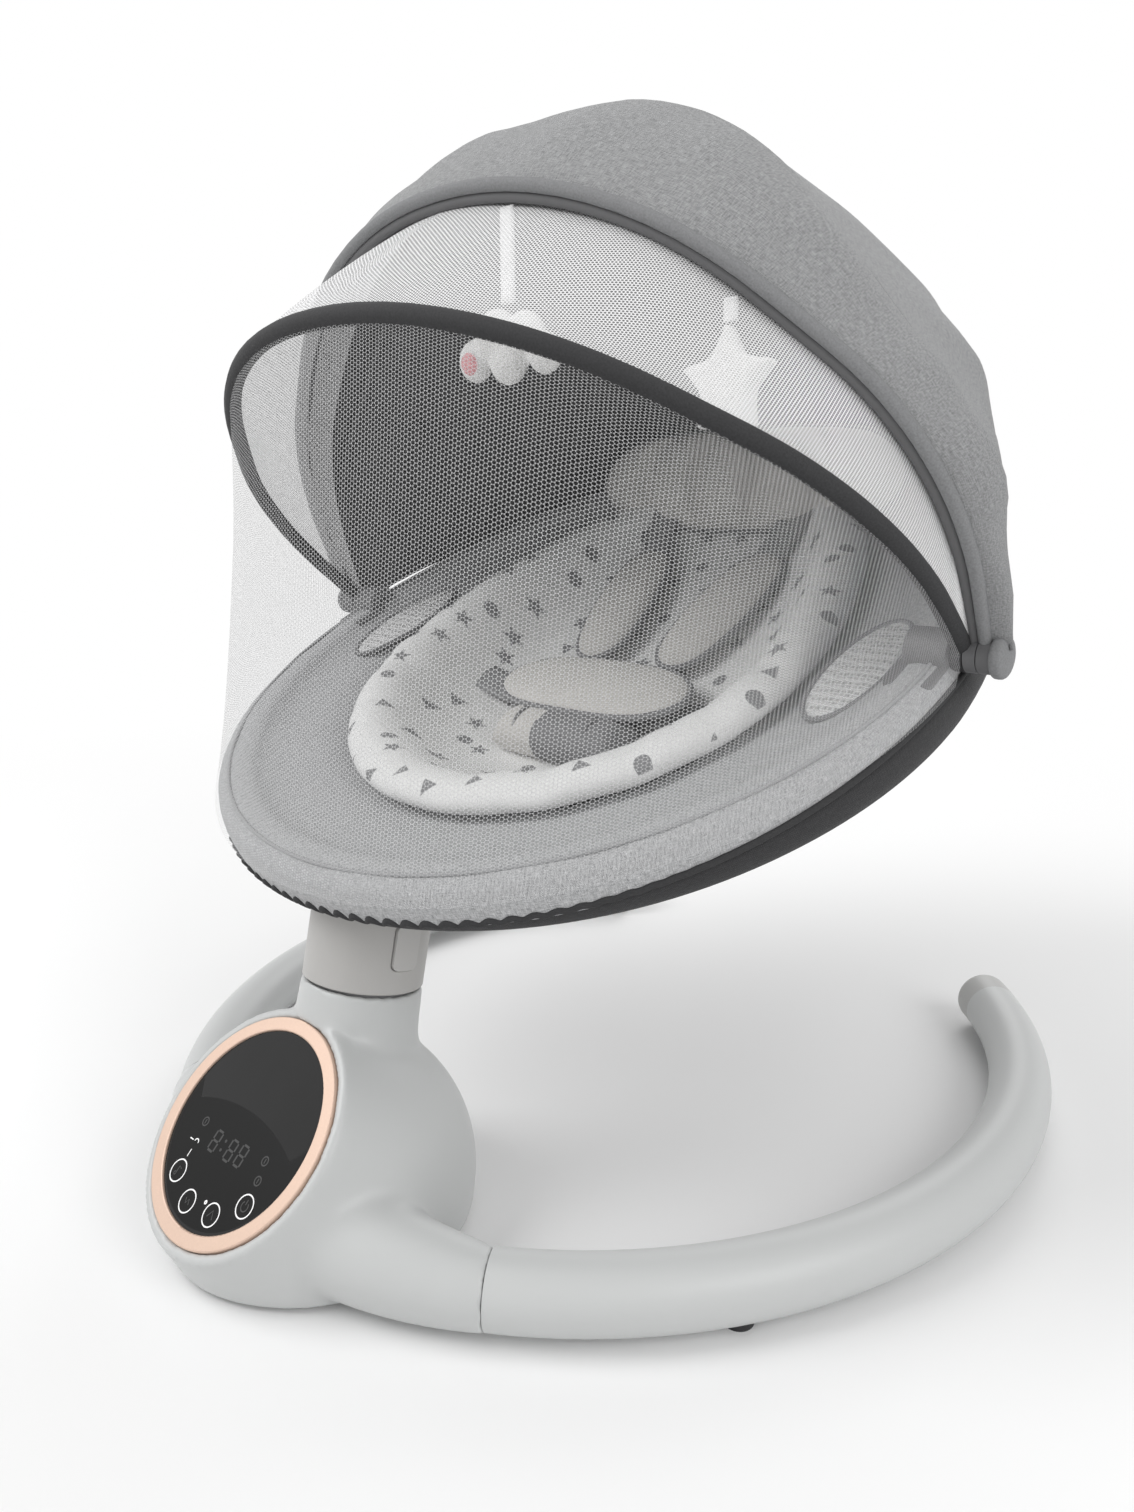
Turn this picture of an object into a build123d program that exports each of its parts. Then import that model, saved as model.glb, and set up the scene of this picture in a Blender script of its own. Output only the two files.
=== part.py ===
"""Electric baby swing: a C-shaped floor ring with a drive housing at its front,
a short tilted column that sways from side to side, and a ring seat with a
folding canopy and a net. Millimetres, +Z up, front (control panel) towards -Y."""
import os
from math import acos, asin, atan2, cos, degrees, hypot, radians, sin

from build123d import *

# Floor ring: an oval of two arc radii, seen from above
RING_Y = 47.8
RING_HALF_WIDTH = 264.4
RING_HALF_LENGTH = 291.0
RING_FRONT_RADIUS = 240.0
ARM_RADIUS = 18.6
ARM_WALL = 3.0
FOOT_HEIGHT = 3.0
ARM_Z = FOOT_HEIGHT + ARM_RADIUS
STUB_END_DEG = 33.5
ARM_END_DEG = 40.5
CAP_DEG = 5.0
JOINER_DEG = 7.0
JOINER_GRIP_DEG = 4.0
FIT = 0.2

# Drive housing and its tilted round control panel
PANEL_Y = RING_Y - 300.7
PANEL_Z = 71.8
PANEL_TILT = 44.7
RIM_RADIUS = 65.0
BEZEL_RADIUS = 59.8
PANEL_RADIUS = 52.0
BEZEL_DEPTH = 5.5
PANEL_THICK = 3.0
BOARD_THICK = 1.6
HOUSING_WALL = 4.0
FLOOR_WALL = 5.0
COVER_THICK = 2.2
COVER_Y = RING_Y - 258.0
COVER_HALF_WIDTH = 52.0
COVER_HALF_LENGTH = 58.0

# Column: the sway axis leans back, levels are measured from the seam upwards
COLUMN_LEAN = 12.8
SEAM_Y = RING_Y - 222.5
SEAM_Z = 128.0
SEAM_GAP = 1.5
COLUMN_RADIUS = 33.0
COLUMN_BORE = 30.0
COLUMN_HEIGHT = 50.0
SHAFT_RADIUS = 8.0
RUNNING = 0.05
BEARING_RADIUS = 15.0
BEARING_HEIGHT = 8.0
CHASSIS_TOP = -16.0
CHASSIS_BOTTOM = -70.0
BUTTON_LEVEL = 26.5
BUTTON_HALF_WIDTH = 7.8
BUTTON_HALF_HEIGHT = 12.3
BUTTON_PROUD = 1.3
SPRING_RADIUS = 5.5

# Seat ring: an egg outline in a plane that rises towards the head
SEAT_TILT = 25.0
SEAT_Y = RING_Y - 262.0
SEAT_Z = 189.4
SEAT_TUBE = 10.0
SEAT_WALL = 1.3
SLEEVE_RADIUS = 14.0
SEAT_FRONT = 14.0
SEAT_REAR = 545.0
SEAT_HALF = 228.0
SEAT_TAIL = 100.0
WIDEST = SEAT_FRONT + SEAT_HALF
BRACKET_HALF = 46.0
BRACKET_BAR = 12.0

# Canopy: three bows on one cross axis, each leaning forward by its own angle
PIVOT_Y = RING_Y - 35.0
PIVOT_Z = 312.0
PIN_RADIUS = 4.0
BOW_RADIUS = 2.8
EYE_RADIUS = 9.0
EYE_THICK = 6.0
NET_LEAN = 51.6
NET_HALF = 243.0
NET_LEG = 7.0
FRONT_LEAN = 28.2
FRONT_HALF = 249.5
FRONT_LEG = 0.5
REAR_LEAN = 7.3
REAR_HALF = 256.0
REAR_TOP = 276.0
CLOTH = 2.0
CLOTH_GAP = 1.4

FRONT_CENTRE_Y = RING_Y - (RING_HALF_LENGTH - RING_FRONT_RADIUS)
RING_OFFSET = RING_HALF_LENGTH - RING_FRONT_RADIUS
RING_SIDE_RADIUS = (
    RING_HALF_WIDTH**2 + RING_OFFSET**2 - RING_FRONT_RADIUS**2
) / (2 * (RING_HALF_WIDTH - RING_FRONT_RADIUS))
RING_SIDE_X = RING_HALF_WIDTH - RING_SIDE_RADIUS
TURN_DEG = degrees(atan2(-RING_SIDE_X, RING_OFFSET))
SIDE_START_DEG = TURN_DEG - 90.0

panel_plane = Plane(
    (0, PANEL_Y, PANEL_Z),
    x_dir=(1, 0, 0),
    z_dir=(0, -cos(radians(PANEL_TILT)), sin(radians(PANEL_TILT))),
)
column_plane = Plane(
    (0, SEAM_Y, SEAM_Z),
    x_dir=(1, 0, 0),
    z_dir=(0, sin(radians(COLUMN_LEAN)), cos(radians(COLUMN_LEAN))),
)
seat_plane = Plane(
    (0, SEAT_Y, SEAT_Z),
    x_dir=(1, 0, 0),
    z_dir=(0, -sin(radians(SEAT_TILT)), cos(radians(SEAT_TILT))),
)
BELOW = (Align.CENTER, Align.CENTER, Align.MAX)
pieces = {}


def bow_plane(lean):
    """The plane of a canopy bow that leans forward by lean from upright."""
    normal = (0, -cos(radians(lean)), -sin(radians(lean)))
    return Plane((0, PIVOT_Y, PIVOT_Z), x_dir=(1, 0, 0), z_dir=normal)


def ring_plane(angle):
    """The plane square to the front arc of the floor ring at angle from its middle."""
    x = RING_FRONT_RADIUS * sin(radians(angle))
    y = FRONT_CENTRE_Y - RING_FRONT_RADIUS * cos(radians(angle))
    tangent = (cos(radians(angle)), sin(radians(angle)), 0)
    return Plane((x, y, ARM_Z), x_dir=(0, 0, 1), z_dir=tangent)


def egg(front, rear, half, tail):
    """A closed seat outline: half circle at the front, side arcs, small tail arc."""
    widest = front + half
    tail_y = rear - tail
    gap = tail_y - widest
    side = (half**2 + gap**2 - tail**2) / (2 * (half - tail))
    turn = degrees(atan2(gap, side - half))
    CenterArc((0, widest), half, 180, 180)
    CenterArc((half - side, widest), side, 0, turn)
    CenterArc((0, tail_y), tail, turn, 180 - 2 * turn)
    CenterArc((side - half, widest), side, 180 - turn, turn)


def seat_point(x, along, level):
    """A place in the seat's own frame, as a world point."""
    return seat_plane.from_local_coords((x, along, level))


def seat_level(level, turn):
    """A plane over the seat's widest line that rises by turn more than the ring towards the head."""
    rise = radians(SEAT_TILT + turn)
    return Plane(seat_point(0, WIDEST, level), x_dir=(1, 0, 0), z_dir=(0, -sin(rise), cos(rise)))


def egg_loft(levels, mode=Mode.ADD):
    """A bowl through egg outlines, each (level, turn, front, rear, half, tail)."""
    outlines = []
    for level, turn, front, rear, half, tail in levels:
        with BuildSketch(seat_level(level, turn)) as outline:
            with BuildLine():
                egg(front - WIDEST, rear - WIDEST, half, tail)
            make_face()
        outlines.append(outline.sketch)
    loft(outlines, ruled=True, mode=mode)


def tube_on(path, radius, wall=0.0, mode=Mode.ADD):
    """A round tube or bar along a path."""
    with BuildSketch(Plane(path.line @ 0, z_dir=path.line % 0)) as ring:
        Circle(radius)
        if wall:
            Circle(radius - wall, mode=Mode.SUBTRACT)
    sweep(ring.sketch, path=path.line, mode=mode)


def mirrored(piece):
    """The left-hand twin of a right-hand piece."""
    with BuildPart() as twin:
        mirror(piece.part, about=Plane.YZ)
    return twin


# Floor ring: two hollow arms, their end caps and the joiners into the housing
def front_arc(start, end):
    """The ring's front arc between two angles from its middle."""
    CenterArc((0, FRONT_CENTRE_Y, ARM_Z), RING_FRONT_RADIUS, start - 90, end - start)


def arm_path(start, end):
    """The right-hand arm's line between two angles of the side arc."""
    CenterArc((RING_SIDE_X, RING_Y, ARM_Z), RING_SIDE_RADIUS, start, end - start)


with BuildPart() as right_arm:
    with BuildLine() as path:
        front_arc(STUB_END_DEG, TURN_DEG)
        arm_path(SIDE_START_DEG, ARM_END_DEG)
    tube_on(path, ARM_RADIUS, ARM_WALL)
pieces["right_arm"] = right_arm
pieces["left_arm"] = mirrored(right_arm)

with BuildPart() as right_arm_cap:
    with BuildLine() as path:
        arm_path(ARM_END_DEG, ARM_END_DEG + CAP_DEG)
    tube_on(path, ARM_RADIUS)
    end_edges = right_arm_cap.edges().filter_by(GeomType.CIRCLE).sort_by(Axis.X)[:1]
    fillet(end_edges, ARM_RADIUS * 0.45)
    with BuildLine() as plug_path:
        arm_path(ARM_END_DEG - 4.0, ARM_END_DEG)
    tube_on(plug_path, ARM_RADIUS - ARM_WALL - FIT)
pieces["right_arm_cap"] = right_arm_cap
pieces["left_arm_cap"] = mirrored(right_arm_cap)

with BuildPart() as right_arm_joiner:
    with BuildLine() as path:
        front_arc(STUB_END_DEG - JOINER_DEG, STUB_END_DEG + JOINER_GRIP_DEG)
    tube_on(path, ARM_RADIUS - ARM_WALL - FIT, ARM_WALL)
pieces["right_arm_joiner"] = right_arm_joiner
pieces["left_arm_joiner"] = mirrored(right_arm_joiner)

# Rubber feet: two under each arm and two under the housing
FOOT_RADIUS = 8.0
ARM_FOOT_DEGS = (-33.0, 36.0)
with BuildPart() as base_feet:
    for angle in ARM_FOOT_DEGS:
        x = RING_SIDE_X + RING_SIDE_RADIUS * cos(radians(angle))
        y = RING_Y + RING_SIDE_RADIUS * sin(radians(angle))
        with Locations((x, y, 0), (-x, y, 0)):
            Cylinder(FOOT_RADIUS, FOOT_HEIGHT + 4, align=(Align.CENTER, Align.CENTER, Align.MIN))
    for side in (1, -1):
        with BuildLine() as path:
            CenterArc((side * RING_SIDE_X, RING_Y, ARM_Z), RING_SIDE_RADIUS, 90 - side * 90 - 50, 100)
        tube_on(path, ARM_RADIUS + 0.02, mode=Mode.SUBTRACT)
    with Locations((60, RING_Y - 262, 0), (-60, RING_Y - 262, 0)):
        Cylinder(FOOT_RADIUS - 2, FOOT_HEIGHT, align=(Align.CENTER, Align.CENTER, Align.MIN))
pieces["base_feet"] = base_feet

# Housing shell: a ball behind the panel's cone, two arm stubs and the column's neck
BALL_DEPTH = 66.0
BALL_RADIUS = 84.0
RIM_WALL = 8.0
STUB_SECTIONS = ((8.0, 30.0, 12.0), (20.0, 25.5, 6.0), (STUB_END_DEG, ARM_RADIUS + 0.4, 0.0))
NECK_WALL = 4.0
NECK_DEPTH = 55.0
NECK_RADIUS = 36.0
SHELF_TOP = -12.0
SHAFT_HOLE = 13.0
FLOOR_Z = FOOT_HEIGHT + FLOOR_WALL
SOCKET_RADIUS = 5.0
SOCKET_Z = 40.0
SOCKET_Y = RING_Y - 171.0
SCREW_RADIUS = 1.5
SCREW_SPOTS = ((38, 38), (38, -38), (-38, 38), (-38, -38))


axis_plane = Plane((0, PANEL_Y, PANEL_Z), x_dir=-panel_plane.y_dir, z_dir=(-1, 0, 0))


def ball(rim, start, radius):
    """A cone that widens behind the panel and runs tangent into a ball on the same axis."""
    rise = BALL_DEPTH - start
    lean = atan2(rise, rim) - acos(radius / hypot(rim, rise))
    with BuildSketch(axis_plane) as profile:
        with BuildLine():
            touch = (radius * cos(lean), radius * sin(lean) - BALL_DEPTH)
            Polyline((0, -BALL_DEPTH - radius), (0, -start), (rim, -start), touch)
            CenterArc((0, -BALL_DEPTH), radius, degrees(lean), -90 - degrees(lean))
        make_face()
    revolve(profile.sketch, axis=Axis(panel_plane.origin, panel_plane.z_dir))


with BuildPart() as housing_cavity:
    ball(RIM_RADIUS - RIM_WALL, BEZEL_DEPTH + HOUSING_WALL, BALL_RADIUS - HOUSING_WALL)
    with Locations((0, COVER_Y, FLOOR_Z)):
        Box(4 * BALL_RADIUS, 4 * BALL_RADIUS, BALL_RADIUS, align=BELOW, mode=Mode.SUBTRACT)
    with BuildSketch(panel_plane.offset(HOUSING_WALL)):
        Circle(BEZEL_RADIUS - 4)
    extrude(amount=-BEZEL_DEPTH - 3 * HOUSING_WALL)
    with BuildSketch(panel_plane.offset(HOUSING_WALL)):
        Circle(BEZEL_RADIUS + FIT)
    extrude(amount=-HOUSING_WALL - BEZEL_DEPTH)
    with BuildSketch(column_plane.offset(CHASSIS_TOP)):
        Circle(COLUMN_RADIUS - NECK_WALL)
    extrude(amount=-30)
    with BuildSketch(column_plane.offset(5)):
        Circle(SHAFT_HOLE)
    extrude(amount=-40)
    with BuildSketch(column_plane.offset(5)):
        Circle(COLUMN_RADIUS - NECK_WALL)
    extrude(amount=SHELF_TOP - 5)
    with BuildSketch(Plane.XY):
        with Locations((0, COVER_Y)):
            Ellipse(COVER_HALF_WIDTH - 8, COVER_HALF_LENGTH - 8)
    extrude(amount=BALL_DEPTH / 2)
    with BuildSketch(Plane.XY):
        with Locations((0, COVER_Y)):
            Ellipse(COVER_HALF_WIDTH + FIT, COVER_HALF_LENGTH + FIT)
    extrude(amount=FOOT_HEIGHT + COVER_THICK)
    with BuildSketch(Plane.XY):
        with Locations(*[(x, COVER_Y + y) for x, y in SCREW_SPOTS]):
            Circle(SCREW_RADIUS)
    extrude(amount=FLOOR_Z + 2)

with BuildPart() as housing_shell:
    ball(RIM_RADIUS, 0, BALL_RADIUS)
    with BuildSketch(Plane.XZ.offset(-(SOCKET_Y - 20))):
        with Locations((0, SOCKET_Z)):
            Circle(SOCKET_RADIUS)
    extrude(amount=-40, mode=Mode.SUBTRACT)
    neck = []
    for depth, radius in ((SEAM_GAP / 2, COLUMN_RADIUS), (NECK_DEPTH, NECK_RADIUS)):
        with BuildSketch(column_plane.offset(-depth)) as ring:
            Circle(radius)
        neck.append(ring.sketch)
    loft(neck)
    for side in (1, -1):
        stub = []
        for angle, radius, lift in STUB_SECTIONS:
            with BuildSketch(ring_plane(side * angle)) as ring:
                with Locations((lift, 0)):
                    Circle(radius)
            stub.append(ring.sketch)
        loft(stub)
    with Locations((0, COVER_Y, FOOT_HEIGHT)):
        Box(6 * BALL_RADIUS, 6 * BALL_RADIUS, BALL_RADIUS, align=BELOW, mode=Mode.SUBTRACT)
    add(housing_cavity.part, mode=Mode.SUBTRACT)
    for side in (1, -1):
        with BuildLine() as path:
            start = -90 + side * STUB_END_DEG
            CenterArc((0, FRONT_CENTRE_Y, ARM_Z), RING_FRONT_RADIUS, start, -side * (JOINER_DEG + 0.2))
        tube_on(path, ARM_RADIUS - ARM_WALL, mode=Mode.SUBTRACT)
pieces["housing_shell"] = housing_shell

# Control panel: rose gold ring, black touch disc and the board behind them
LEDGE_WIDTH = 3.2
PANEL_SINK = 0.5
with BuildPart() as panel_bezel:
    with BuildSketch(panel_plane.offset(0.8)):
        Circle(BEZEL_RADIUS)
        Circle(PANEL_RADIUS + FIT, mode=Mode.SUBTRACT)
    extrude(amount=-BEZEL_DEPTH - 0.8)
    with BuildSketch(panel_plane.offset(-BEZEL_DEPTH)):
        Circle(BEZEL_RADIUS - 1)
        Circle(PANEL_RADIUS - LEDGE_WIDTH, mode=Mode.SUBTRACT)
    extrude(amount=BEZEL_DEPTH - PANEL_SINK - PANEL_THICK)
    fillet(panel_bezel.edges().group_by(lambda e: panel_plane.to_local_coords(e.center()).Z)[-1], 0.7)
pieces["panel_bezel"] = panel_bezel

with BuildPart() as touch_panel:
    with BuildSketch(panel_plane.offset(-PANEL_SINK)):
        Circle(PANEL_RADIUS)
    extrude(amount=-PANEL_THICK)
pieces["touch_panel"] = touch_panel

with BuildPart() as panel_board:
    with BuildSketch(panel_plane.offset(-BEZEL_DEPTH)):
        Circle(PANEL_RADIUS)
    extrude(amount=-BOARD_THICK)
    with BuildSketch(panel_plane.offset(-BEZEL_DEPTH)):
        with Locations((0, -6)):
            Rectangle(46, 20)
    extrude(amount=1.8)
pieces["panel_board"] = panel_board

# Drive: bearing chassis under the neck, two bearings, coil, boards, speaker, socket
FLANGE_RADIUS = 26.0
with BuildPart() as bearing_chassis:
    with BuildSketch(column_plane.offset(CHASSIS_TOP)):
        Circle(FLANGE_RADIUS)
    extrude(amount=-4)
    with BuildSketch(column_plane.offset(CHASSIS_TOP)):
        Circle(BEARING_RADIUS + 4)
    extrude(amount=CHASSIS_BOTTOM - CHASSIS_TOP)
    with BuildSketch(column_plane.offset(CHASSIS_TOP)):
        Circle(BEARING_RADIUS - 3)
    extrude(amount=CHASSIS_BOTTOM - CHASSIS_TOP, mode=Mode.SUBTRACT)
    with BuildSketch(column_plane.offset(CHASSIS_TOP)):
        Circle(BEARING_RADIUS)
    extrude(amount=-BEARING_HEIGHT, mode=Mode.SUBTRACT)
    with BuildSketch(column_plane.offset(CHASSIS_BOTTOM)):
        Circle(BEARING_RADIUS)
    extrude(amount=BEARING_HEIGHT, mode=Mode.SUBTRACT)
pieces["bearing_chassis"] = bearing_chassis

for name, level in (("upper_bearing", CHASSIS_TOP - BEARING_HEIGHT), ("lower_bearing", CHASSIS_BOTTOM)):
    with BuildPart() as bearing:
        with BuildSketch(column_plane.offset(level)):
            Circle(BEARING_RADIUS - 0.02)
            Circle(SHAFT_RADIUS + RUNNING, mode=Mode.SUBTRACT)
        extrude(amount=BEARING_HEIGHT)
    pieces[name] = bearing

with BuildPart() as swing_bush:
    with BuildSketch(column_plane.offset(SHELF_TOP)):
        Circle(COLUMN_RADIUS - NECK_WALL - 0.05)
        Circle(SHAFT_HOLE, mode=Mode.SUBTRACT)
    extrude(amount=-SHELF_TOP + SEAM_GAP / 2 - 0.35)
pieces["swing_bush"] = swing_bush

LEVER_TOP = -74.0
LEVER_THICK = 10.0
LEVER_REACH = 45.0
COIL_TOP = -95.0
COIL_HEIGHT = 8.0
with BuildPart() as drive_coil:
    with BuildSketch(column_plane.offset(COIL_TOP)):
        with Locations((0, -LEVER_REACH)):
            Circle(15)
            Circle(6.5, mode=Mode.SUBTRACT)
    extrude(amount=-COIL_HEIGHT)
pieces["drive_coil"] = drive_coil

BOARD_Z = 15.0
BOARD_Y = RING_Y - 250.0
BOARD_POSTS = ((23, 13), (23, -13), (-23, 13), (-23, -13))
SPEAKER_SPOT = (20.0, RING_Y - 283.0)
SPEAKER_RADIUS = 11.0
with BuildPart() as housing_bottom_cover:
    with BuildSketch(Plane.XY.offset(FOOT_HEIGHT)):
        with Locations((0, COVER_Y)):
            Ellipse(COVER_HALF_WIDTH, COVER_HALF_LENGTH)
    extrude(amount=COVER_THICK)
    with BuildSketch(Plane.XY.offset(FOOT_HEIGHT)):
        with Locations(*[(x, COVER_Y + y) for x, y in SCREW_SPOTS]):
            Circle(SCREW_RADIUS)
    extrude(amount=COVER_THICK, mode=Mode.SUBTRACT)
    with BuildSketch(Plane.XY.offset(FOOT_HEIGHT + COVER_THICK)):
        with Locations(*[(x, BOARD_Y + y) for x, y in BOARD_POSTS]):
            Circle(3)
    extrude(amount=BOARD_Z - FOOT_HEIGHT - COVER_THICK)
    with BuildSketch(column_plane.offset(COIL_TOP - COIL_HEIGHT)) as post:
        with Locations((0, -LEVER_REACH)):
            Circle(6)
    extrude(amount=-34)
pieces["housing_bottom_cover"] = housing_bottom_cover

with BuildPart() as cover_screws:
    with BuildSketch(Plane.XY.offset(FOOT_HEIGHT)):
        with Locations(*[(x, COVER_Y + y) for x, y in SCREW_SPOTS]):
            Circle(3)
    extrude(amount=-1.6)
    with BuildSketch(Plane.XY.offset(FOOT_HEIGHT)):
        with Locations(*[(x, COVER_Y + y) for x, y in SCREW_SPOTS]):
            Circle(SCREW_RADIUS - 0.03)
    extrude(amount=FLOOR_WALL)
pieces["cover_screws"] = cover_screws

with BuildPart() as main_board:
    with BuildSketch(Plane.XY.offset(BOARD_Z)):
        with Locations((0, BOARD_Y)):
            RectangleRounded(56, 36, 3)
    extrude(amount=BOARD_THICK)
    with BuildSketch(Plane.XY.offset(BOARD_Z + BOARD_THICK)):
        with Locations((-14, BOARD_Y + 4), (12, BOARD_Y - 6)):
            Rectangle(14, 12)
    extrude(amount=4)
pieces["main_board"] = main_board

with BuildPart() as speaker:
    with BuildSketch(Plane.XY.offset(FOOT_HEIGHT + COVER_THICK)):
        with Locations(SPEAKER_SPOT):
            Circle(SPEAKER_RADIUS)
    extrude(amount=4)
    with BuildSketch(Plane.XY.offset(FOOT_HEIGHT + COVER_THICK + 4)):
        with Locations(SPEAKER_SPOT):
            Circle(SPEAKER_RADIUS - 3)
    extrude(amount=6, taper=15)
pieces["speaker"] = speaker

with BuildPart() as power_socket:
    with BuildSketch(Plane.XZ.offset(-SOCKET_Y)):
        with Locations((0, SOCKET_Z)):
            Circle(SOCKET_RADIUS - 0.02)
            Circle(SOCKET_RADIUS - 2.2, mode=Mode.SUBTRACT)
    extrude(amount=9)
    with BuildSketch(Plane.XZ.offset(9 - SOCKET_Y)):
        with Locations((0, SOCKET_Z)):
            Circle(SOCKET_RADIUS - 0.02)
    extrude(amount=10)
pieces["power_socket"] = power_socket

# Swaying column: shaft, drive lever and magnet, sleeve with its two windows
FLANGE_LEVEL = 5.0
with BuildPart() as swing_shaft:
    with BuildSketch(column_plane.offset(LEVER_TOP - LEVER_THICK)):
        Circle(SHAFT_RADIUS)
    extrude(amount=FLANGE_LEVEL + 4 - LEVER_TOP + LEVER_THICK)
    with BuildSketch(column_plane.offset(FLANGE_LEVEL)):
        Circle(20)
    extrude(amount=4)
pieces["swing_shaft"] = swing_shaft

with BuildPart() as magnet_lever:
    with BuildSketch(column_plane.offset(LEVER_TOP)):
        Circle(14)
        with Locations((0, -LEVER_REACH / 2)):
            Rectangle(16, LEVER_REACH + 14)
        Circle(SHAFT_RADIUS + 0.02, mode=Mode.SUBTRACT)
    extrude(amount=-LEVER_THICK)
pieces["magnet_lever"] = magnet_lever

with BuildPart() as drive_magnet:
    with BuildSketch(column_plane.offset(LEVER_TOP - LEVER_THICK)):
        with Locations((0, -LEVER_REACH)):
            RectangleRounded(22, 14, 2)
    extrude(amount=-8)
pieces["drive_magnet"] = drive_magnet

button_plane = Plane(
    column_plane.offset(BUTTON_LEVEL).origin,
    x_dir=(0, cos(radians(COLUMN_LEAN)), -sin(radians(COLUMN_LEAN))),
    z_dir=(1, 0, 0),
)
WINDOW_GAP = 0.35
with BuildPart() as column_sleeve:
    with BuildSketch(column_plane.offset(SEAM_GAP / 2)):
        Circle(COLUMN_RADIUS)
    extrude(amount=COLUMN_HEIGHT - SEAM_GAP / 2)
    with BuildSketch(column_plane.offset(FLANGE_LEVEL)):
        Circle(COLUMN_BORE)
    extrude(amount=COLUMN_HEIGHT, mode=Mode.SUBTRACT)
    with BuildSketch(column_plane):
        Circle(SHAFT_RADIUS + 0.02)
    extrude(amount=10, mode=Mode.SUBTRACT)
    with BuildSketch(button_plane):
        RectangleRounded(2 * (BUTTON_HALF_WIDTH + WINDOW_GAP), 2 * (BUTTON_HALF_HEIGHT + WINDOW_GAP), 4)
    extrude(amount=50, both=True, mode=Mode.SUBTRACT)
    circles = column_sleeve.edges().filter_by(GeomType.CIRCLE)
    rims = circles.filter_by(lambda edge: edge.radius > COLUMN_RADIUS - 1)
    chamfer(rims, 0.6)
pieces["column_sleeve"] = column_sleeve

# Seat bracket: a hollow plug for the sleeve and the cross bar that takes the seat tubes
PLUG_BOTTOM = 11.0
PLUG_BORE = 24.0
BAR_TURN = degrees(asin(BRACKET_HALF / SEAT_HALF))
TUBE_TURN = degrees(asin((BRACKET_HALF - 25) / SEAT_HALF))
NECK_HALF = 27.0
NECK_OUTLINE = (
    (-243, 184), (-257, 188), (-259, 197), (-249, 203), (-238, 197), (-222, 188), (-190, 180), (-181, 170),
)
with BuildPart() as seat_bracket:
    with BuildSketch(column_plane.offset(PLUG_BOTTOM)):
        Circle(COLUMN_BORE - FIT)
    extrude(amount=COLUMN_HEIGHT - PLUG_BOTTOM)
    with BuildSketch(column_plane.offset(COLUMN_HEIGHT)):
        Circle(COLUMN_RADIUS - 0.3)
    extrude(amount=5)
    with BuildSketch(Plane.YZ):
        with BuildLine():
            Polyline(*[(RING_Y + y, z) for y, z in NECK_OUTLINE], close=True)
        make_face()
    extrude(amount=NECK_HALF, both=True)
    with BuildSketch(column_plane.offset(PLUG_BOTTOM)):
        Circle(PLUG_BORE)
    extrude(amount=COLUMN_HEIGHT - PLUG_BOTTOM - 4, mode=Mode.SUBTRACT)
    with BuildSketch(button_plane):
        RectangleRounded(2 * (BUTTON_HALF_WIDTH + WINDOW_GAP), 2 * (BUTTON_HALF_HEIGHT + WINDOW_GAP), 4)
    extrude(amount=50, both=True, mode=Mode.SUBTRACT)
    with BuildLine(seat_plane) as path:
        CenterArc((0, WIDEST), SEAT_HALF, 270 - BAR_TURN, 2 * BAR_TURN)
    tube_on(path, BRACKET_BAR)
    for side in (1, -1):
        with BuildLine(seat_plane) as path:
            CenterArc((0, WIDEST), SEAT_HALF, 270 + side * BAR_TURN, side * (TUBE_TURN - BAR_TURN))
        tube_on(path, SEAT_TUBE + 0.02, mode=Mode.SUBTRACT)
pieces["seat_bracket"] = seat_bracket

# Release buttons: one on each side of the column, pushed apart by one spring
FLANGE_BACK = 17.0
FLANGE_FRONT = 20.5
FLANGE_HALF_WIDTH = 9.5
FLANGE_HALF_HEIGHT = 13.6
with BuildPart() as right_release_button:
    with BuildSketch(button_plane.offset(FLANGE_BACK)):
        RectangleRounded(2 * FLANGE_HALF_WIDTH, 2 * FLANGE_HALF_HEIGHT, 3)
    extrude(amount=FLANGE_FRONT - FLANGE_BACK)
    with BuildSketch(button_plane.offset(FLANGE_FRONT)):
        RectangleRounded(2 * BUTTON_HALF_WIDTH, 2 * BUTTON_HALF_HEIGHT, 3.7)
    extrude(amount=COLUMN_RADIUS)
    with BuildSketch(column_plane.offset(-10)):
        Circle(COLUMN_RADIUS + BUTTON_PROUD)
    extrude(amount=80, mode=Mode.INTERSECT)
pieces["right_release_button"] = right_release_button
pieces["left_release_button"] = mirrored(right_release_button)

with BuildPart() as release_spring:
    with BuildSketch(button_plane.offset(-FLANGE_BACK)):
        Circle(SPRING_RADIUS)
        Circle(SPRING_RADIUS - 1.4, mode=Mode.SUBTRACT)
    extrude(amount=2 * FLANGE_BACK)
pieces["release_spring"] = release_spring

# Seat ring: two front tubes, one rear tube and the joiners inside them
TAIL_Y = SEAT_REAR - SEAT_TAIL
TAIL_GAP = TAIL_Y - WIDEST
SEAT_SIDE = (SEAT_HALF**2 + TAIL_GAP**2 - SEAT_TAIL**2) / (2 * (SEAT_HALF - SEAT_TAIL))
SIDE_TURN = degrees(atan2(TAIL_GAP, SEAT_SIDE - SEAT_HALF))
with BuildPart() as right_front_tube:
    with BuildLine(seat_plane) as path:
        CenterArc((0, WIDEST), SEAT_HALF, 270 + TUBE_TURN, 90 - TUBE_TURN)
    tube_on(path, SEAT_TUBE, SEAT_WALL)
pieces["right_front_tube"] = right_front_tube
pieces["left_front_tube"] = mirrored(right_front_tube)

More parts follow.
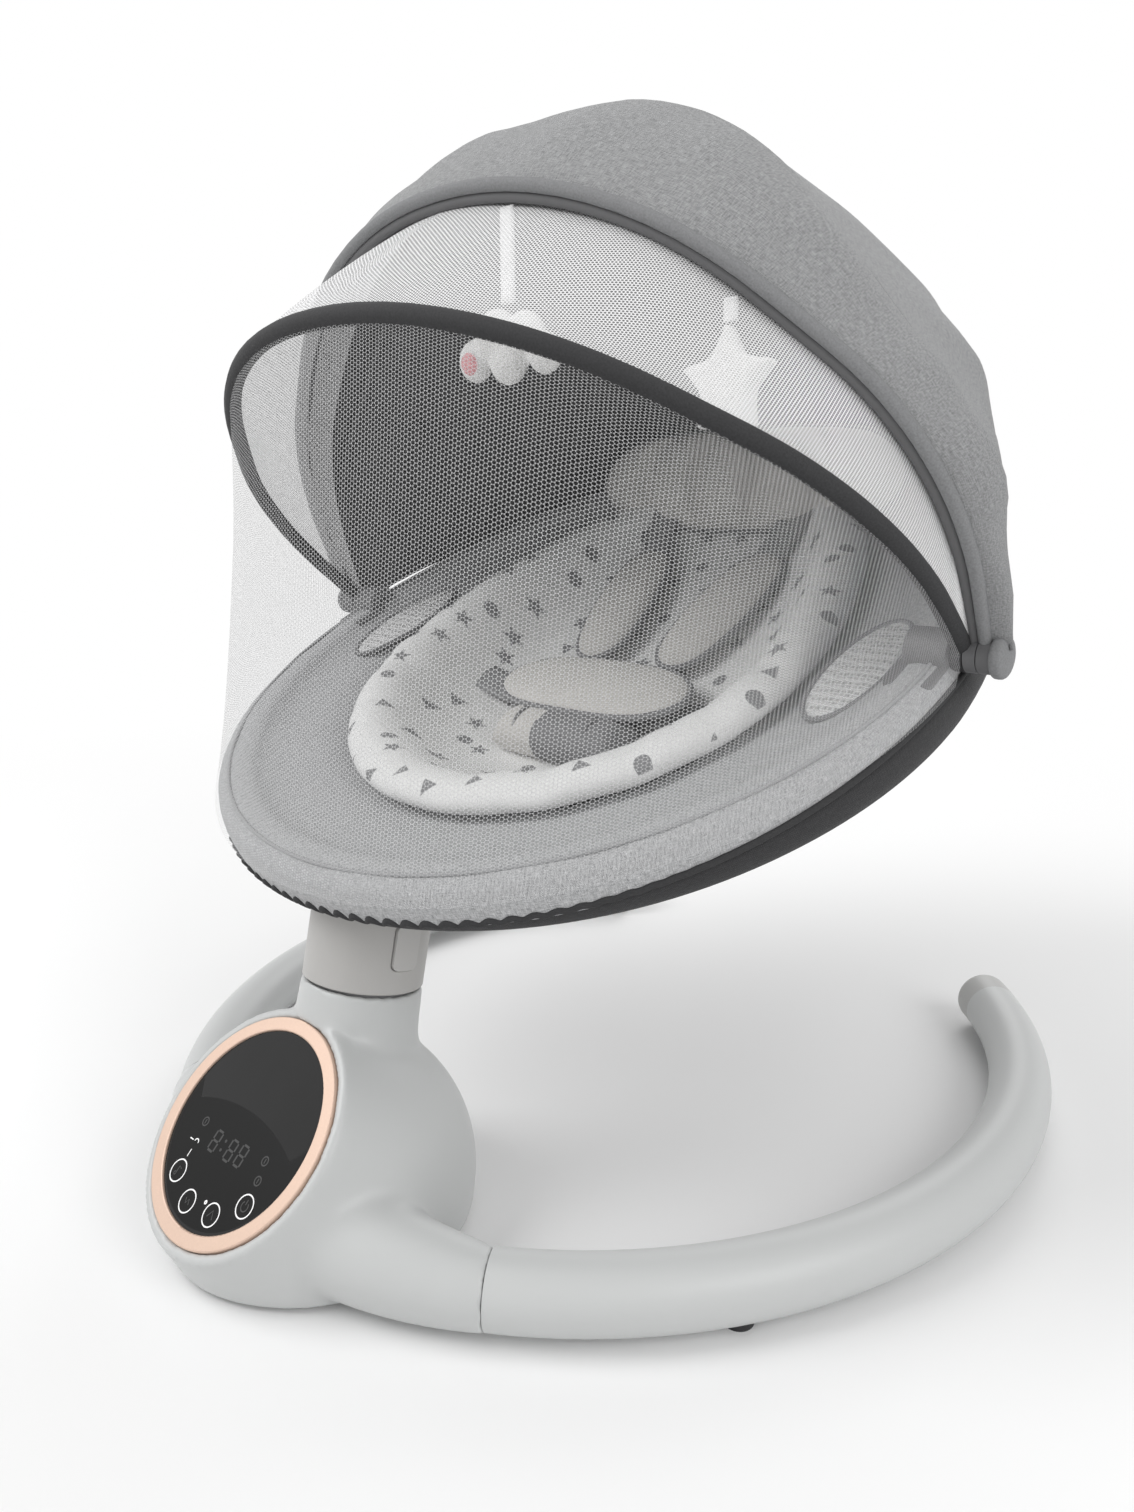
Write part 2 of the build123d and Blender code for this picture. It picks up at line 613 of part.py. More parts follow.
with BuildPart() as rear_tube:
    with BuildLine(seat_plane) as path:
        CenterArc((SEAT_HALF - SEAT_SIDE, WIDEST), SEAT_SIDE, 0, SIDE_TURN)
        CenterArc((0, TAIL_Y), SEAT_TAIL, SIDE_TURN, 180 - 2 * SIDE_TURN)
        CenterArc((SEAT_SIDE - SEAT_HALF, WIDEST), SEAT_SIDE, 180 - SIDE_TURN, SIDE_TURN)
    tube_on(path, SEAT_TUBE, SEAT_WALL)
pieces["rear_tube"] = rear_tube

with BuildPart() as right_tube_joiner:
    with BuildLine(seat_plane) as path:
        CenterArc((0, WIDEST), SEAT_HALF, 354, 6)
        CenterArc((SEAT_HALF - SEAT_SIDE, WIDEST), SEAT_SIDE, 0, 4)
    tube_on(path, SEAT_TUBE - SEAT_WALL - FIT, 1.5)
pieces["right_tube_joiner"] = right_tube_joiner
pieces["left_tube_joiner"] = mirrored(right_tube_joiner)

# Canopy hubs: a clamp on the tube with the cross pin that all three bows turn on
HUB_FACE = NET_HALF - EYE_THICK / 2 - 0.5
HUB_LENGTH = 30.0
PIN_END = REAR_HALF + EYE_THICK / 2 + 0.4
pivot_plane = Plane((0, PIVOT_Y, PIVOT_Z), x_dir=(0, 1, 0), z_dir=(1, 0, 0))
with BuildPart() as ring_core:
    with BuildLine(seat_plane) as path:
        CenterArc((0, WIDEST), SEAT_HALF, 270, 90)
    tube_on(path, SEAT_TUBE + 0.02)
    with BuildLine(seat_plane) as path:
        CenterArc((SEAT_HALF - SEAT_SIDE, WIDEST), SEAT_SIDE, 0, SIDE_TURN)
        CenterArc((0, TAIL_Y), SEAT_TAIL, SIDE_TURN, 90 - SIDE_TURN)
    tube_on(path, SEAT_TUBE + 0.02)
    mirror(about=Plane.YZ)

with BuildPart() as right_hood_hub:
    with BuildSketch(seat_plane.offset(-13)):
        with Locations((HUB_FACE - 12.5, WIDEST)):
            RectangleRounded(25, HUB_LENGTH, 3)
    extrude(amount=27)
    with BuildSketch(pivot_plane.offset(HUB_FACE)):
        Circle(12)
    extrude(amount=-22)
    add(ring_core.part, mode=Mode.SUBTRACT)
    with BuildSketch(pivot_plane.offset(HUB_FACE)):
        Circle(PIN_RADIUS + 0.02)
    extrude(amount=-22, mode=Mode.SUBTRACT)
pieces["right_hood_hub"] = right_hood_hub
pieces["left_hood_hub"] = mirrored(right_hood_hub)

with BuildPart() as right_pivot_pin:
    with BuildSketch(pivot_plane.offset(HUB_FACE - 18)):
        Circle(PIN_RADIUS)
    extrude(amount=PIN_END - HUB_FACE + 18)
    with BuildSketch(pivot_plane.offset(PIN_END)):
        Circle(EYE_RADIUS)
    extrude(amount=3.5)
    fillet(right_pivot_pin.edges().sort_by(Axis.X)[-1], 1.5)
pieces["right_pivot_pin"] = right_pivot_pin
pieces["left_pivot_pin"] = mirrored(right_pivot_pin)

# Seat cover: a padded sleeve round the ring and a shallow bowl of cloth under it
COVER_WALL = 5.0
COVER_SHRINK = 3.0
BOWL_LEVELS = (
    (-4.0, 0.0, 18.0, 541.0, 224.0, 96.0),
    (-16.0, 1.5, 78.0, 506.0, 164.0, 80.0),
    (-42.0, 8.0, 126.0, 474.0, 128.0, 70.0),
    (-66.0, 12.0, 186.0, 436.0, 94.0, 60.0),
)


def inside(levels, lift, shrink):
    """Bowl outlines moved up and in from others."""
    return [(l + lift, u, f + shrink, r - shrink, h - shrink, t - shrink) for l, u, f, r, h, t in levels]


with BuildPart() as seat_cover:
    egg_loft(BOWL_LEVELS)
    with BuildLine(seat_plane) as path:
        egg(SEAT_FRONT, SEAT_REAR, SEAT_HALF, SEAT_TAIL)
    tube_on(path, SLEEVE_RADIUS)
    egg_loft(inside(BOWL_LEVELS, COVER_WALL, COVER_SHRINK), mode=Mode.SUBTRACT)
    tube_on(path, SEAT_TUBE + 0.02, mode=Mode.SUBTRACT)
    add(seat_bracket.part, mode=Mode.SUBTRACT)
    with BuildSketch(seat_plane.offset(-13)):
        with Locations((HUB_FACE - 12.5, WIDEST), (12.5 - HUB_FACE, WIDEST)):
            Rectangle(26, HUB_LENGTH + 1)
    extrude(amount=40, mode=Mode.SUBTRACT)
    for side in (1, -1):
        with BuildSketch(pivot_plane.offset(side * (HUB_FACE - 24))):
            Circle(EYE_RADIUS + 4)
        extrude(amount=side * 60, mode=Mode.SUBTRACT)
pieces["seat_cover"] = seat_cover

# Canopy bows: round rods with an eye at each end, all on the hub pins
TAN_EIGHTH = 0.41421
NET_SLANT = TAN_EIGHTH * NET_HALF
FRONT_SLANT = TAN_EIGHTH * FRONT_HALF
NET_BOW = (NET_HALF, NET_LEG + NET_SLANT, NET_SLANT, NET_LEG + NET_HALF, 165.0, 236.0)
FRONT_BOW = (FRONT_HALF, FRONT_LEG + FRONT_SLANT, FRONT_SLANT, FRONT_LEG + FRONT_HALF, 165.0, 242.0)
REAR_BOW = (REAR_HALF, 89.0, 109.0, REAR_TOP, 110.0, 170.0)
MIDDLE_SHAPE = (230.0, 95.0, 135.0, 282.0, 110.0, 170.0)
TAIL_SHAPE = (240.0, 100.0, 60.0, 306.6, 130.0, 105.0)
MIDDLE_LEAN = -38.0
TAIL_LEAN = -66.0
RIM_SHAPE = (247.0, 119.0, 102.0, 266.0, 205.0, 236.0)


def arch(shape, grow=0.0, start=0.0):
    """An arch: legs, shoulders and crown, moved outwards by grow, from the right foot."""
    half, shoulder, crown, top, low_radius, high_radius = shape
    lean = atan2(half - crown, top - shoulder)
    low = (half + grow, shoulder + grow * sin(lean / 2) / cos(lean / 2))
    turn = radians(90) - lean
    high = (crown + grow * sin(turn / 2) / cos(turn / 2), top + grow)
    points = [(half + grow, start), low, high]
    points += [(-x, y) for x, y in reversed(points)]
    radii = [low_radius + grow, high_radius + grow]
    return FilletPolyline(*points, radius=radii + radii[::-1])


for name, shape, lean in (
    ("net_bow", NET_BOW, NET_LEAN),
    ("hood_front_bow", FRONT_BOW, FRONT_LEAN),
    ("hood_rear_bow", REAR_BOW, REAR_LEAN),
):
    with BuildPart() as bow:
        with BuildLine(bow_plane(lean)) as path:
            arch(shape)
        tube_on(path, BOW_RADIUS)
        for side in (1, -1):
            with BuildSketch(pivot_plane.offset(side * (shape[0] - EYE_THICK / 2))):
                Circle(EYE_RADIUS)
            extrude(amount=side * EYE_THICK)
            with BuildSketch(pivot_plane.offset(side * (shape[0] - EYE_THICK))):
                Circle(PIN_RADIUS + RUNNING)
            extrude(amount=side * EYE_THICK * 2, mode=Mode.SUBTRACT)
    pieces[name] = bow

# Canopy cloth and nets: thin sheets stretched from arch to arch
SHEET_START = 30.0


def sheet(shapes, near, thick):
    """A sheet through arches, each (shape, lean), held off the bows by near."""
    strips = []
    for shape, lean in shapes:
        with BuildSketch(bow_plane(lean)) as strip:
            with BuildLine():
                outer = arch(shape, near + thick, SHEET_START)
                inner = arch(shape, near, SHEET_START)
                Line(outer @ 0, inner @ 0)
                Line(outer @ 1, inner @ 1)
            make_face()
        strips.append(strip.sketch)
    loft(strips, ruled=True)


NET_THICK = 1.0
RIM_LEAN = 119.0
SHEET_NEAR = BOW_RADIUS + CLOTH_GAP
with BuildPart() as hood_front_panel:
    sheet(((FRONT_BOW, FRONT_LEAN), (REAR_BOW, REAR_LEAN)), SHEET_NEAR, CLOTH)
pieces["hood_front_panel"] = hood_front_panel

with BuildPart() as hood_rear_panel:
    sheet(((REAR_BOW, REAR_LEAN), (MIDDLE_SHAPE, MIDDLE_LEAN), (TAIL_SHAPE, TAIL_LEAN)), SHEET_NEAR, CLOTH)
pieces["hood_rear_panel"] = hood_rear_panel

with BuildPart() as net_top_panel:
    sheet(((NET_BOW, NET_LEAN), (FRONT_BOW, FRONT_LEAN)), SHEET_NEAR, NET_THICK)
pieces["net_top_panel"] = net_top_panel

with BuildPart() as net_front_panel:
    sheet(((RIM_SHAPE, RIM_LEAN), (NET_BOW, NET_LEAN)), SHEET_NEAR, NET_THICK)
pieces["net_front_panel"] = net_front_panel

# Seat cushion: a quilted tub that lines the cover's hollow, with a rounded roll for an edge
PAD_GAP = 0.5
PAD_THICK = 14.0
PAD_TOP = 6.0
PAD_ROLL = ((0.0, 8.0), (-2.5, 4.0), (-7.0, 2.0))
HOLLOW = BOWL_LEVELS[1:]
with BuildPart() as seat_pad:
    outer = inside(HOLLOW, COVER_WALL + PAD_GAP, COVER_SHRINK + 2 * PAD_GAP)
    inner = inside(HOLLOW, COVER_WALL + PAD_THICK, COVER_SHRINK + PAD_THICK - 2)
    roll = [(PAD_TOP + drop,) + inside(outer[:1], 0, shrink)[0][1:] for drop, shrink in PAD_ROLL]
    egg_loft(roll + outer)
    egg_loft([(PAD_TOP + 1,) + inner[0][1:]] + inner, mode=Mode.SUBTRACT)
pieces["seat_pad"] = seat_pad


def pillow(plane, width, length, thick, rounding, edge):
    """A stuffed pad: full at its middle outline and drawn in above and below."""
    rings = []
    for level, inset in ((-thick / 2, edge), (0, 0), (thick / 2, edge)):
        with BuildSketch(plane.offset(level)) as ring:
            RectangleRounded(width - 2 * inset, length - 2 * inset, rounding - inset)
        rings.append(ring.sketch)
    loft(rings)


# Head pillow and harness: pads and straps that lie on the cushion
HEAD_LEAN = 80.0
head_plane = Plane(
    seat_point(0, 445, 28),
    x_dir=(1, 0, 0),
    z_dir=(0, -sin(radians(HEAD_LEAN)), cos(radians(HEAD_LEAN))),
)
with BuildPart() as head_pillow:
    pillow(head_plane, 224, 64, 50, 31, 12)
    add(seat_pad.part, mode=Mode.SUBTRACT)
pieces["head_pillow"] = head_pillow

BACK_TURN = 12.0
back_rise = radians(SEAT_TILT + BACK_TURN)
shoulder_plane = Plane(
    seat_point(42, 335, -18),
    x_dir=(1, 0.12 * cos(back_rise), 0.12 * sin(back_rise)),
    z_dir=(0, -sin(back_rise), cos(back_rise)),
)
with BuildPart() as right_shoulder_pad:
    pillow(shoulder_plane, 44, 112, 14, 19, 4)
    add(seat_pad.part, mode=Mode.SUBTRACT)
pieces["right_shoulder_pad"] = right_shoulder_pad
pieces["left_shoulder_pad"] = mirrored(right_shoulder_pad)

BUCKLE_TOP = -34.0
BUCKLE_Y = 240.0
with BuildPart() as harness_buckle:
    with BuildSketch(seat_plane.offset(BUCKLE_TOP)):
        with Locations((0, BUCKLE_Y)):
            RectangleRounded(46, 36, 8)
    extrude(amount=-20)
    add(seat_pad.part, mode=Mode.SUBTRACT)
    with BuildSketch(seat_plane.offset(BUCKLE_TOP)):
        with Locations((0, BUCKLE_Y)):
            Circle(8.4)
    extrude(amount=-7, mode=Mode.SUBTRACT)
pieces["harness_buckle"] = harness_buckle

with BuildPart() as buckle_button:
    with BuildSketch(seat_plane.offset(BUCKLE_TOP - 0.4)):
        with Locations((0, BUCKLE_Y)):
            Circle(8)
    extrude(amount=-3.6)
pieces["buckle_button"] = buckle_button

with BuildPart() as belly_pad:
    belly = seat_point(0, BUCKLE_Y, BUCKLE_TOP + 8)
    pillow(Plane(belly, x_dir=(1, 0, 0), z_dir=seat_plane.z_dir), 150, 60, 16, 29, 5)
pieces["belly_pad"] = belly_pad

STRAP_THICK = 3.0
with BuildPart() as right_waist_strap:
    ends = []
    for x, level in ((23, BUCKLE_TOP - 8), (118, BUCKLE_TOP + 12)):
        plane = Plane(seat_point(x, BUCKLE_Y, level), x_dir=seat_plane.y_dir, z_dir=(1, 0, 0))
        with BuildSketch(plane) as end:
            Rectangle(26, STRAP_THICK)
        ends.append(end.sketch)
    loft(ends)
    add(seat_pad.part, mode=Mode.SUBTRACT)
    add(belly_pad.part, mode=Mode.SUBTRACT)
pieces["right_waist_strap"] = right_waist_strap
pieces["left_waist_strap"] = mirrored(right_waist_strap)

with BuildPart() as crotch_pad:
    with BuildSketch(Plane(seat_point(-48, 203, -40), x_dir=seat_plane.y_dir, z_dir=(1, 0, 0))):
        Ellipse(18, 14)
    extrude(amount=96)
    fillet(crotch_pad.edges().filter_by(lambda e: abs(abs(e.center().X) - 48) < 1), 6)
    add(seat_pad.part, mode=Mode.SUBTRACT)
    add(belly_pad.part, mode=Mode.SUBTRACT)
pieces["crotch_pad"] = crotch_pad

# Hanging plush toys: a cloud and a star on ribbons from the front bow
def bow_point(x):
    """The centre of the front bow's rod above x, as a world point."""
    turn = radians(45)
    flat = FRONT_BOW[2] - FRONT_BOW[5] * sin(turn / 2) / cos(turn / 2)
    height = FRONT_BOW[3] - FRONT_BOW[5] + (FRONT_BOW[5] ** 2 - (x - flat) ** 2) ** 0.5
    lean = radians(FRONT_LEAN)
    return Vector(x, PIVOT_Y - height * sin(lean), PIVOT_Z + height * cos(lean))


CLOUD_X = 48.0
STAR_X = 163.0
BEAD_RADIUS = 2.2
RIBBON_THICK = 1.4
CLOUD_DROP = 42.0
STAR_DROP = 8.0
cloud_hook = bow_point(CLOUD_X) - Vector(0, 0, 6.5)
star_hook = bow_point(STAR_X) - Vector(0, 0, 9.5)
for name, hook, width, drop in (
    ("cloud_ribbon", cloud_hook, 9.0, CLOUD_DROP),
    ("star_ribbon", star_hook, 5.0, STAR_DROP),
):
    with BuildPart() as ribbon:
        with BuildSketch(Plane(hook - Vector(width / 2, 0, 0), x_dir=(0, 1, 0), z_dir=(1, 0, 0))):
            Circle(BEAD_RADIUS)
            with Locations((0, -drop / 2)):
                Rectangle(RIBBON_THICK, drop)
        extrude(amount=width)
    pieces[name] = ribbon

CLOUD_SECTIONS = (
    (-43, -22, 4, 5),
    (-28, -22, 10, 13),
    (-8, -20, 13, 18),
    (12, -19, 13, 18),
    (30, -22, 10, 12),
    (43, -23, 4, 5),
)
with BuildPart() as cloud_toy:
    rings = []
    for x, drop, half_thick, half_height in CLOUD_SECTIONS:
        middle = cloud_hook + Vector(x, 0, drop - CLOUD_DROP)
        with BuildSketch(Plane(middle, x_dir=(0, 1, 0), z_dir=(1, 0, 0))) as ring:
            Ellipse(half_thick, half_height)
        rings.append(ring.sketch)
    loft(rings)
    add(pieces["cloud_ribbon"].part, mode=Mode.SUBTRACT)
pieces["cloud_toy"] = cloud_toy

STAR_OUTER = 31.0
STAR_INNER = 17.0
STAR_HALF_THICK = 9.0
with BuildPart() as star_toy:
    star_centre = star_hook - Vector(0, 0, STAR_DROP + STAR_OUTER - 3)
    star_plane = Plane(star_centre, x_dir=(1, 0, 0), z_dir=(0, -1, 0))
    with BuildSketch(star_plane):
        with BuildLine():
            tips = [(90 + 36 * k, STAR_INNER if k % 2 else STAR_OUTER) for k in range(10)]
            corners = [(r * cos(radians(a)), r * sin(radians(a))) for a, r in tips]
            FilletPolyline(*corners, radius=4.5, close=True)
        make_face()
    extrude(amount=STAR_HALF_THICK, both=True, taper=30)
    add(pieces["star_ribbon"].part, mode=Mode.SUBTRACT)
pieces["star_toy"] = star_toy

if __name__ == "__main__":
    os.makedirs("parts", exist_ok=True)
    for name, piece in pieces.items():
        piece.part.label = name
        export_step(piece.part, f"parts/{name}.step")
        print(name, len(piece.part.solids()), round(piece.part.volume), piece.part.is_valid)
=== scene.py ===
"""An electric baby swing in its finish: moulded base and panel, sewn seat, canopy, nets and toys."""
from math import acos, atan2, cos, exp, hypot, pi, radians, sin, sqrt, tan

import bmesh
import bpy
from mathutils import Matrix, Vector, noise


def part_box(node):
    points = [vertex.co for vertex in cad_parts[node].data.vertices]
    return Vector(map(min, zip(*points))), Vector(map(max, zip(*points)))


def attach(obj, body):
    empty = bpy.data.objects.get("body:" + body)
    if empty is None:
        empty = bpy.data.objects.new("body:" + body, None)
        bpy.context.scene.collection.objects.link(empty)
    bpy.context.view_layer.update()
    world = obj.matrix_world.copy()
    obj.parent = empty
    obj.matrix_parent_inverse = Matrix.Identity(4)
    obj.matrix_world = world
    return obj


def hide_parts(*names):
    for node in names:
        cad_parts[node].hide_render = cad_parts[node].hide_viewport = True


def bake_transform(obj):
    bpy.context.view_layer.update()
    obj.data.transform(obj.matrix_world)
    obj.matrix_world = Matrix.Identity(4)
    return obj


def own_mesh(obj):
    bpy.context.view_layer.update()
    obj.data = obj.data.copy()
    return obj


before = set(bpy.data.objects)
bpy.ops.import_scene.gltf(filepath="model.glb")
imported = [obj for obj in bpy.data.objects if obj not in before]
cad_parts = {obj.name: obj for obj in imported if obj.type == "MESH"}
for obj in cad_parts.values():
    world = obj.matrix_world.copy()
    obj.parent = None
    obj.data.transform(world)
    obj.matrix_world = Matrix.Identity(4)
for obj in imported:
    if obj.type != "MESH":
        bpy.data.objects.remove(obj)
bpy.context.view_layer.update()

# Studio: the camera stands close to the front right corner, a little above the seat. A pale
# floor runs out into a white surround. Soft lamps light the front, the side and the back.
EYE = Vector((0.45080, -0.48949, 0.37686))
AIM = Vector((-0.0945, 0.0908, 0.1952))
camera_data = bpy.data.cameras.new("camera")
camera_data.sensor_fit = "VERTICAL"
camera_data.sensor_height = 36.0
camera_data.lens = 24.95
camera_data.clip_start = 0.01
camera = bpy.data.objects.new("camera", camera_data)
camera.location = EYE
camera.rotation_euler = (AIM - EYE).to_track_quat("-Z", "Y").to_euler()
bpy.context.collection.objects.link(camera)
bpy.context.scene.camera = camera
bpy.context.scene.view_settings.view_transform = "Standard"

LAMPS = (
    ("key_lamp", (-1.2, -1.5, 2.0), 1.6, 34.0),
    ("side_lamp", (1.9, -0.2, 1.3), 1.4, 15.0),
    ("back_lamp", (-0.6, 1.8, 1.6), 1.4, 12.0),
)
LAMP_AIM = Vector((0, 0, 0.25))
for name, place, size, power in LAMPS:
    lamp_data = bpy.data.lights.new(name, "AREA")
    lamp_data.shape = "DISK"
    lamp_data.size = size
    lamp_data.energy = power
    lamp = bpy.data.objects.new(name, lamp_data)
    lamp.location = place
    lamp.rotation_euler = (LAMP_AIM - Vector(place)).to_track_quat("-Z", "Y").to_euler()
    bpy.context.collection.objects.link(lamp)


class Shade:
    """A shader socket: arithmetic on it adds Math nodes, and node() adds any other kind."""

    def __init__(self, tree, socket=None):
        self.tree, self.socket = tree, socket

    def node(self, kind, settings=(), inputs=(), output=0):
        made = self.tree.nodes.new("ShaderNode" + kind)
        for name, value in dict(settings).items():
            setattr(made, name, value)
        for name, value in dict(inputs).items():
            if isinstance(value, Shade):
                self.tree.links.new(value.socket, made.inputs[name])
            else:
                made.inputs[name].default_value = value
        return Shade(self.tree, made.outputs[output])

    def other(self, output):
        """Another output of the node behind this socket."""
        return Shade(self.tree, self.socket.node.outputs[output])

    def into(self, shader, name):
        """Links this socket to a shader's input."""
        self.tree.links.new(self.socket, shader.inputs[name])

    def math(self, operation, first, second=0.0):
        return self.node("Math", {"operation": operation}, {0: first, 1: second})

    def __add__(self, other):
        return self.math("ADD", self, other)

    def __sub__(self, other):
        return self.math("SUBTRACT", self, other)

    def __rsub__(self, other):
        return self.math("SUBTRACT", other, self)

    def __mul__(self, other):
        return self.math("MULTIPLY", self, other)

    def __lt__(self, other):
        return self.math("LESS_THAN", self, other)

    def __gt__(self, other):
        return self.math("GREATER_THAN", self, other)

    __radd__ = __add__
    __rmul__ = __mul__

    def mix(self, first, second):
        """First where this socket is 0, second where it is 1, on Mix's colour sockets."""
        return self.node("Mix", {"data_type": "RGBA"}, {0: self, 6: first, 7: second}, 2)


def finish(name):
    """A new material: its shading tree, its surface node and itself."""
    made = bpy.data.materials.new(name)
    made.use_nodes = True
    return Shade(made.node_tree), made.node_tree.nodes["Principled BSDF"], made


def steady(surface, **levels):
    """Sets the inputs that are the same all over a surface."""
    for name, level in levels.items():
        surface.inputs[name.replace("_", " ")].default_value = level


def grey(level):
    """A plain grey as a colour."""
    return (level, level, level, 1)


def seen_rays(shade):
    """1 for the rays that show the surround: to the camera, in gloss and through glass."""
    path = shade.node("LightPath")
    rays = [path.other("Is " + kind + " Ray") for kind in ("Camera", "Glossy", "Transmission")]
    return shade.math("MINIMUM", rays[0] + rays[1] + rays[2], 1.0)


world = bpy.data.worlds.new("surround")
world.use_nodes = True
bpy.context.scene.world = world
sky = Shade(world.node_tree)
backdrop = sky.tree.nodes["Background"]
backdrop.inputs["Color"].default_value = (1, 1, 1, 1)
SKY_LEVEL = 0.62
(seen_rays(sky) * (1 - SKY_LEVEL) + SKY_LEVEL).into(backdrop, "Strength")

FLOOR_RADIUS = 9.0
FLOOR_NEAR, FLOOR_FAR = 0.55, 1.5


def meshed(bm, name):
    """An object that holds a bmesh."""
    data = bpy.data.meshes.new(name)
    bm.to_mesh(data)
    bm.free()
    made = bpy.data.objects.new(name, data)
    bpy.context.collection.objects.link(made)
    return made


floor_mesh = bmesh.new()
bmesh.ops.create_circle(floor_mesh, cap_ends=True, radius=FLOOR_RADIUS, segments=96)
floor = meshed(floor_mesh, "floor")
shade, surface, floor_paint = finish("pale_floor")
steady(surface, Base_Color=grey(0.88), Roughness=0.75)
where = shade.node("TexCoord", output="Object")
reach = shade.node("VectorMath", {"operation": "LENGTH"}, {0: where}, "Value")
far = shade.node("MapRange", {"interpolation_type": "SMOOTHSTEP"}, {0: reach, 1: FLOOR_NEAR, 2: FLOOR_FAR})
white = shade.node("Emission", (), {"Color": (1, 1, 1, 1), "Strength": 1.0})
painted = Shade(shade.tree, surface.outputs[0])
fade = shade.node("MixShader", (), {0: far * seen_rays(shade), 1: painted, 2: white})
fade.into(shade.tree.nodes["Material Output"], "Surface")
floor.data.materials.append(floor_paint)

# Floor ring: two hollow arms moulded in a satin pale grey plastic. Each plugs on to a joiner
# at the housing, is closed by an end cap at the back, and stands on rubber feet.
def speckle(where, scale, detail=2.0):
    """Noise over a surface, read at where."""
    return where.node("TexNoise", (), {"Vector": where, "Scale": scale, "Detail": detail})


def relief(surface, height, strength, depth):
    """Fine relief on a surface, from a height."""
    bump = height.node("Bump", (), {"Height": height, "Strength": strength, "Distance": depth})
    bump.into(surface, "Normal")


def dimmed(colour, share):
    """A colour taken down to a share of its level."""
    return tuple(channel * share for channel in colour[:3]) + (1,)


def moulded(name, colour, roughness):
    """Satin moulded plastic: an even colour with a fine spark-eroded grain and soft gloss changes."""
    shade, surface, made = finish(name)
    where = shade.node("TexCoord", output="Object")
    cloud = speckle(where, 9.0, 3.0)
    sand = speckle(where, 1500.0)
    cloud.mix(dimmed(colour, 0.965), colour).into(surface, "Base Color")
    (cloud * 0.10 + sand * 0.05 + (roughness - 0.075)).into(surface, "Roughness")
    relief(surface, sand, 0.35, 0.00014)
    return made


def dress(made, *nodes):
    """Puts a material on CAD nodes."""
    for node in nodes:
        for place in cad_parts[node].material_slots:
            place.material = made


arm_plastic = moulded("arm_plastic", (0.545, 0.555, 0.552, 1), 0.40)
cap_plastic = moulded("cap_plastic", (0.47, 0.47, 0.46, 1), 0.42)
inner_plastic = moulded("inner_plastic", (0.26, 0.26, 0.265, 1), 0.5)
foot_rubber = moulded("foot_rubber", (0.03, 0.03, 0.032, 1), 0.8)
dress(arm_plastic, "right_arm", "left_arm")
dress(cap_plastic, "right_arm_cap", "left_arm_cap")
dress(inner_plastic, "right_arm_joiner", "left_arm_joiner", "bearing_chassis", "magnet_lever", "swing_bush")
dress(foot_rubber, "base_feet")

# Drive housing: a shell moulded in the arms' plastic, a ball behind the panel that runs into
# the arms and the column's neck with soft fillets. The drive, boards and speaker sit inside.
PANEL = Vector((0, -0.2529, 0.0718))
PANEL_OUT = Vector((0, -0.7108, 0.7034))
PANEL_UP = Vector((0, 0.7034, 0.7108))
SEAM = Vector((0, -0.1747, 0.128))
COLUMN = Vector((0, 0.2215, 0.9751))
housing_plastic = moulded("housing_plastic", (0.535, 0.545, 0.542, 1), 0.38)
SKIN_VOXEL = 0.0016
RIM_KEEP, NECK_KEEP, FLOOR_KEEP, ARM_KEEP = 0.010, 0.012, 0.009, 0.128


def settled(draft):
    """A bmesh of a draft object with its modifiers applied. The draft itself goes."""
    data = bpy.data.meshes.new_from_object(draft.evaluated_get(bpy.context.evaluated_depsgraph_get()))
    bpy.data.objects.remove(draft)
    made = bmesh.new()
    made.from_mesh(data)
    return made


def remeshed(bm, voxel):
    """One closed skin over a draft mesh, made from voxels."""
    draft = meshed(bm, "draft")
    voxels = draft.modifiers.new("voxels", "REMESH")
    voxels.mode = "VOXEL"
    voxels.voxel_size = voxel
    return settled(draft)


def relax(bm, verts, rounds):
    """Smooths vertices a number of times."""
    for _ in range(rounds):
        bmesh.ops.smooth_vert(bm, verts=verts, factor=0.5, use_axis_x=True, use_axis_y=True, use_axis_z=True)


def piece(bm, name, made, body=None, also=()):
    """An object from a bmesh, smooth, in its materials, on its body."""
    whole = meshed(bm, name)
    whole.data.shade_smooth()
    for coat in (made, *also):
        whole.data.materials.append(coat)
    if body:
        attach(whole, body)
    return whole


shell_copy = bmesh.new()
shell_copy.from_mesh(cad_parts["housing_shell"].data)
bmesh.ops.remove_doubles(shell_copy, verts=shell_copy.verts, dist=0.00002)
shell = remeshed(shell_copy, SKIN_VOXEL)
soft = [
    vert
    for vert in shell.verts
    if (PANEL - vert.co).dot(PANEL_OUT) > RIM_KEEP
    and (SEAM - vert.co).dot(COLUMN) > NECK_KEEP
    and vert.co.z > FLOOR_KEEP
    and abs(vert.co.x) < ARM_KEEP
]
relax(shell, soft, 60)
relax(shell, shell.verts, 4)
housing = piece(shell, "housing_skin", housing_plastic, "base")
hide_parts("housing_shell")
dress(housing_plastic, "housing_bottom_cover")


def metal(name, colour, roughness):
    """Plated or ground metal with fine brushed streaks."""
    shade, surface, made = finish(name)
    where = shade.node("TexCoord", output="Object")
    long = shade.node("Mapping", (), {"Vector": where, "Scale": (180.0, 1440.0, 180.0)})
    brush = speckle(long, 4.0)
    brush.mix(dimmed(colour, 0.86), colour).into(surface, "Base Color")
    (brush * 0.12 + (roughness - 0.06)).into(surface, "Roughness")
    steady(surface, Metallic=1.0)
    return made


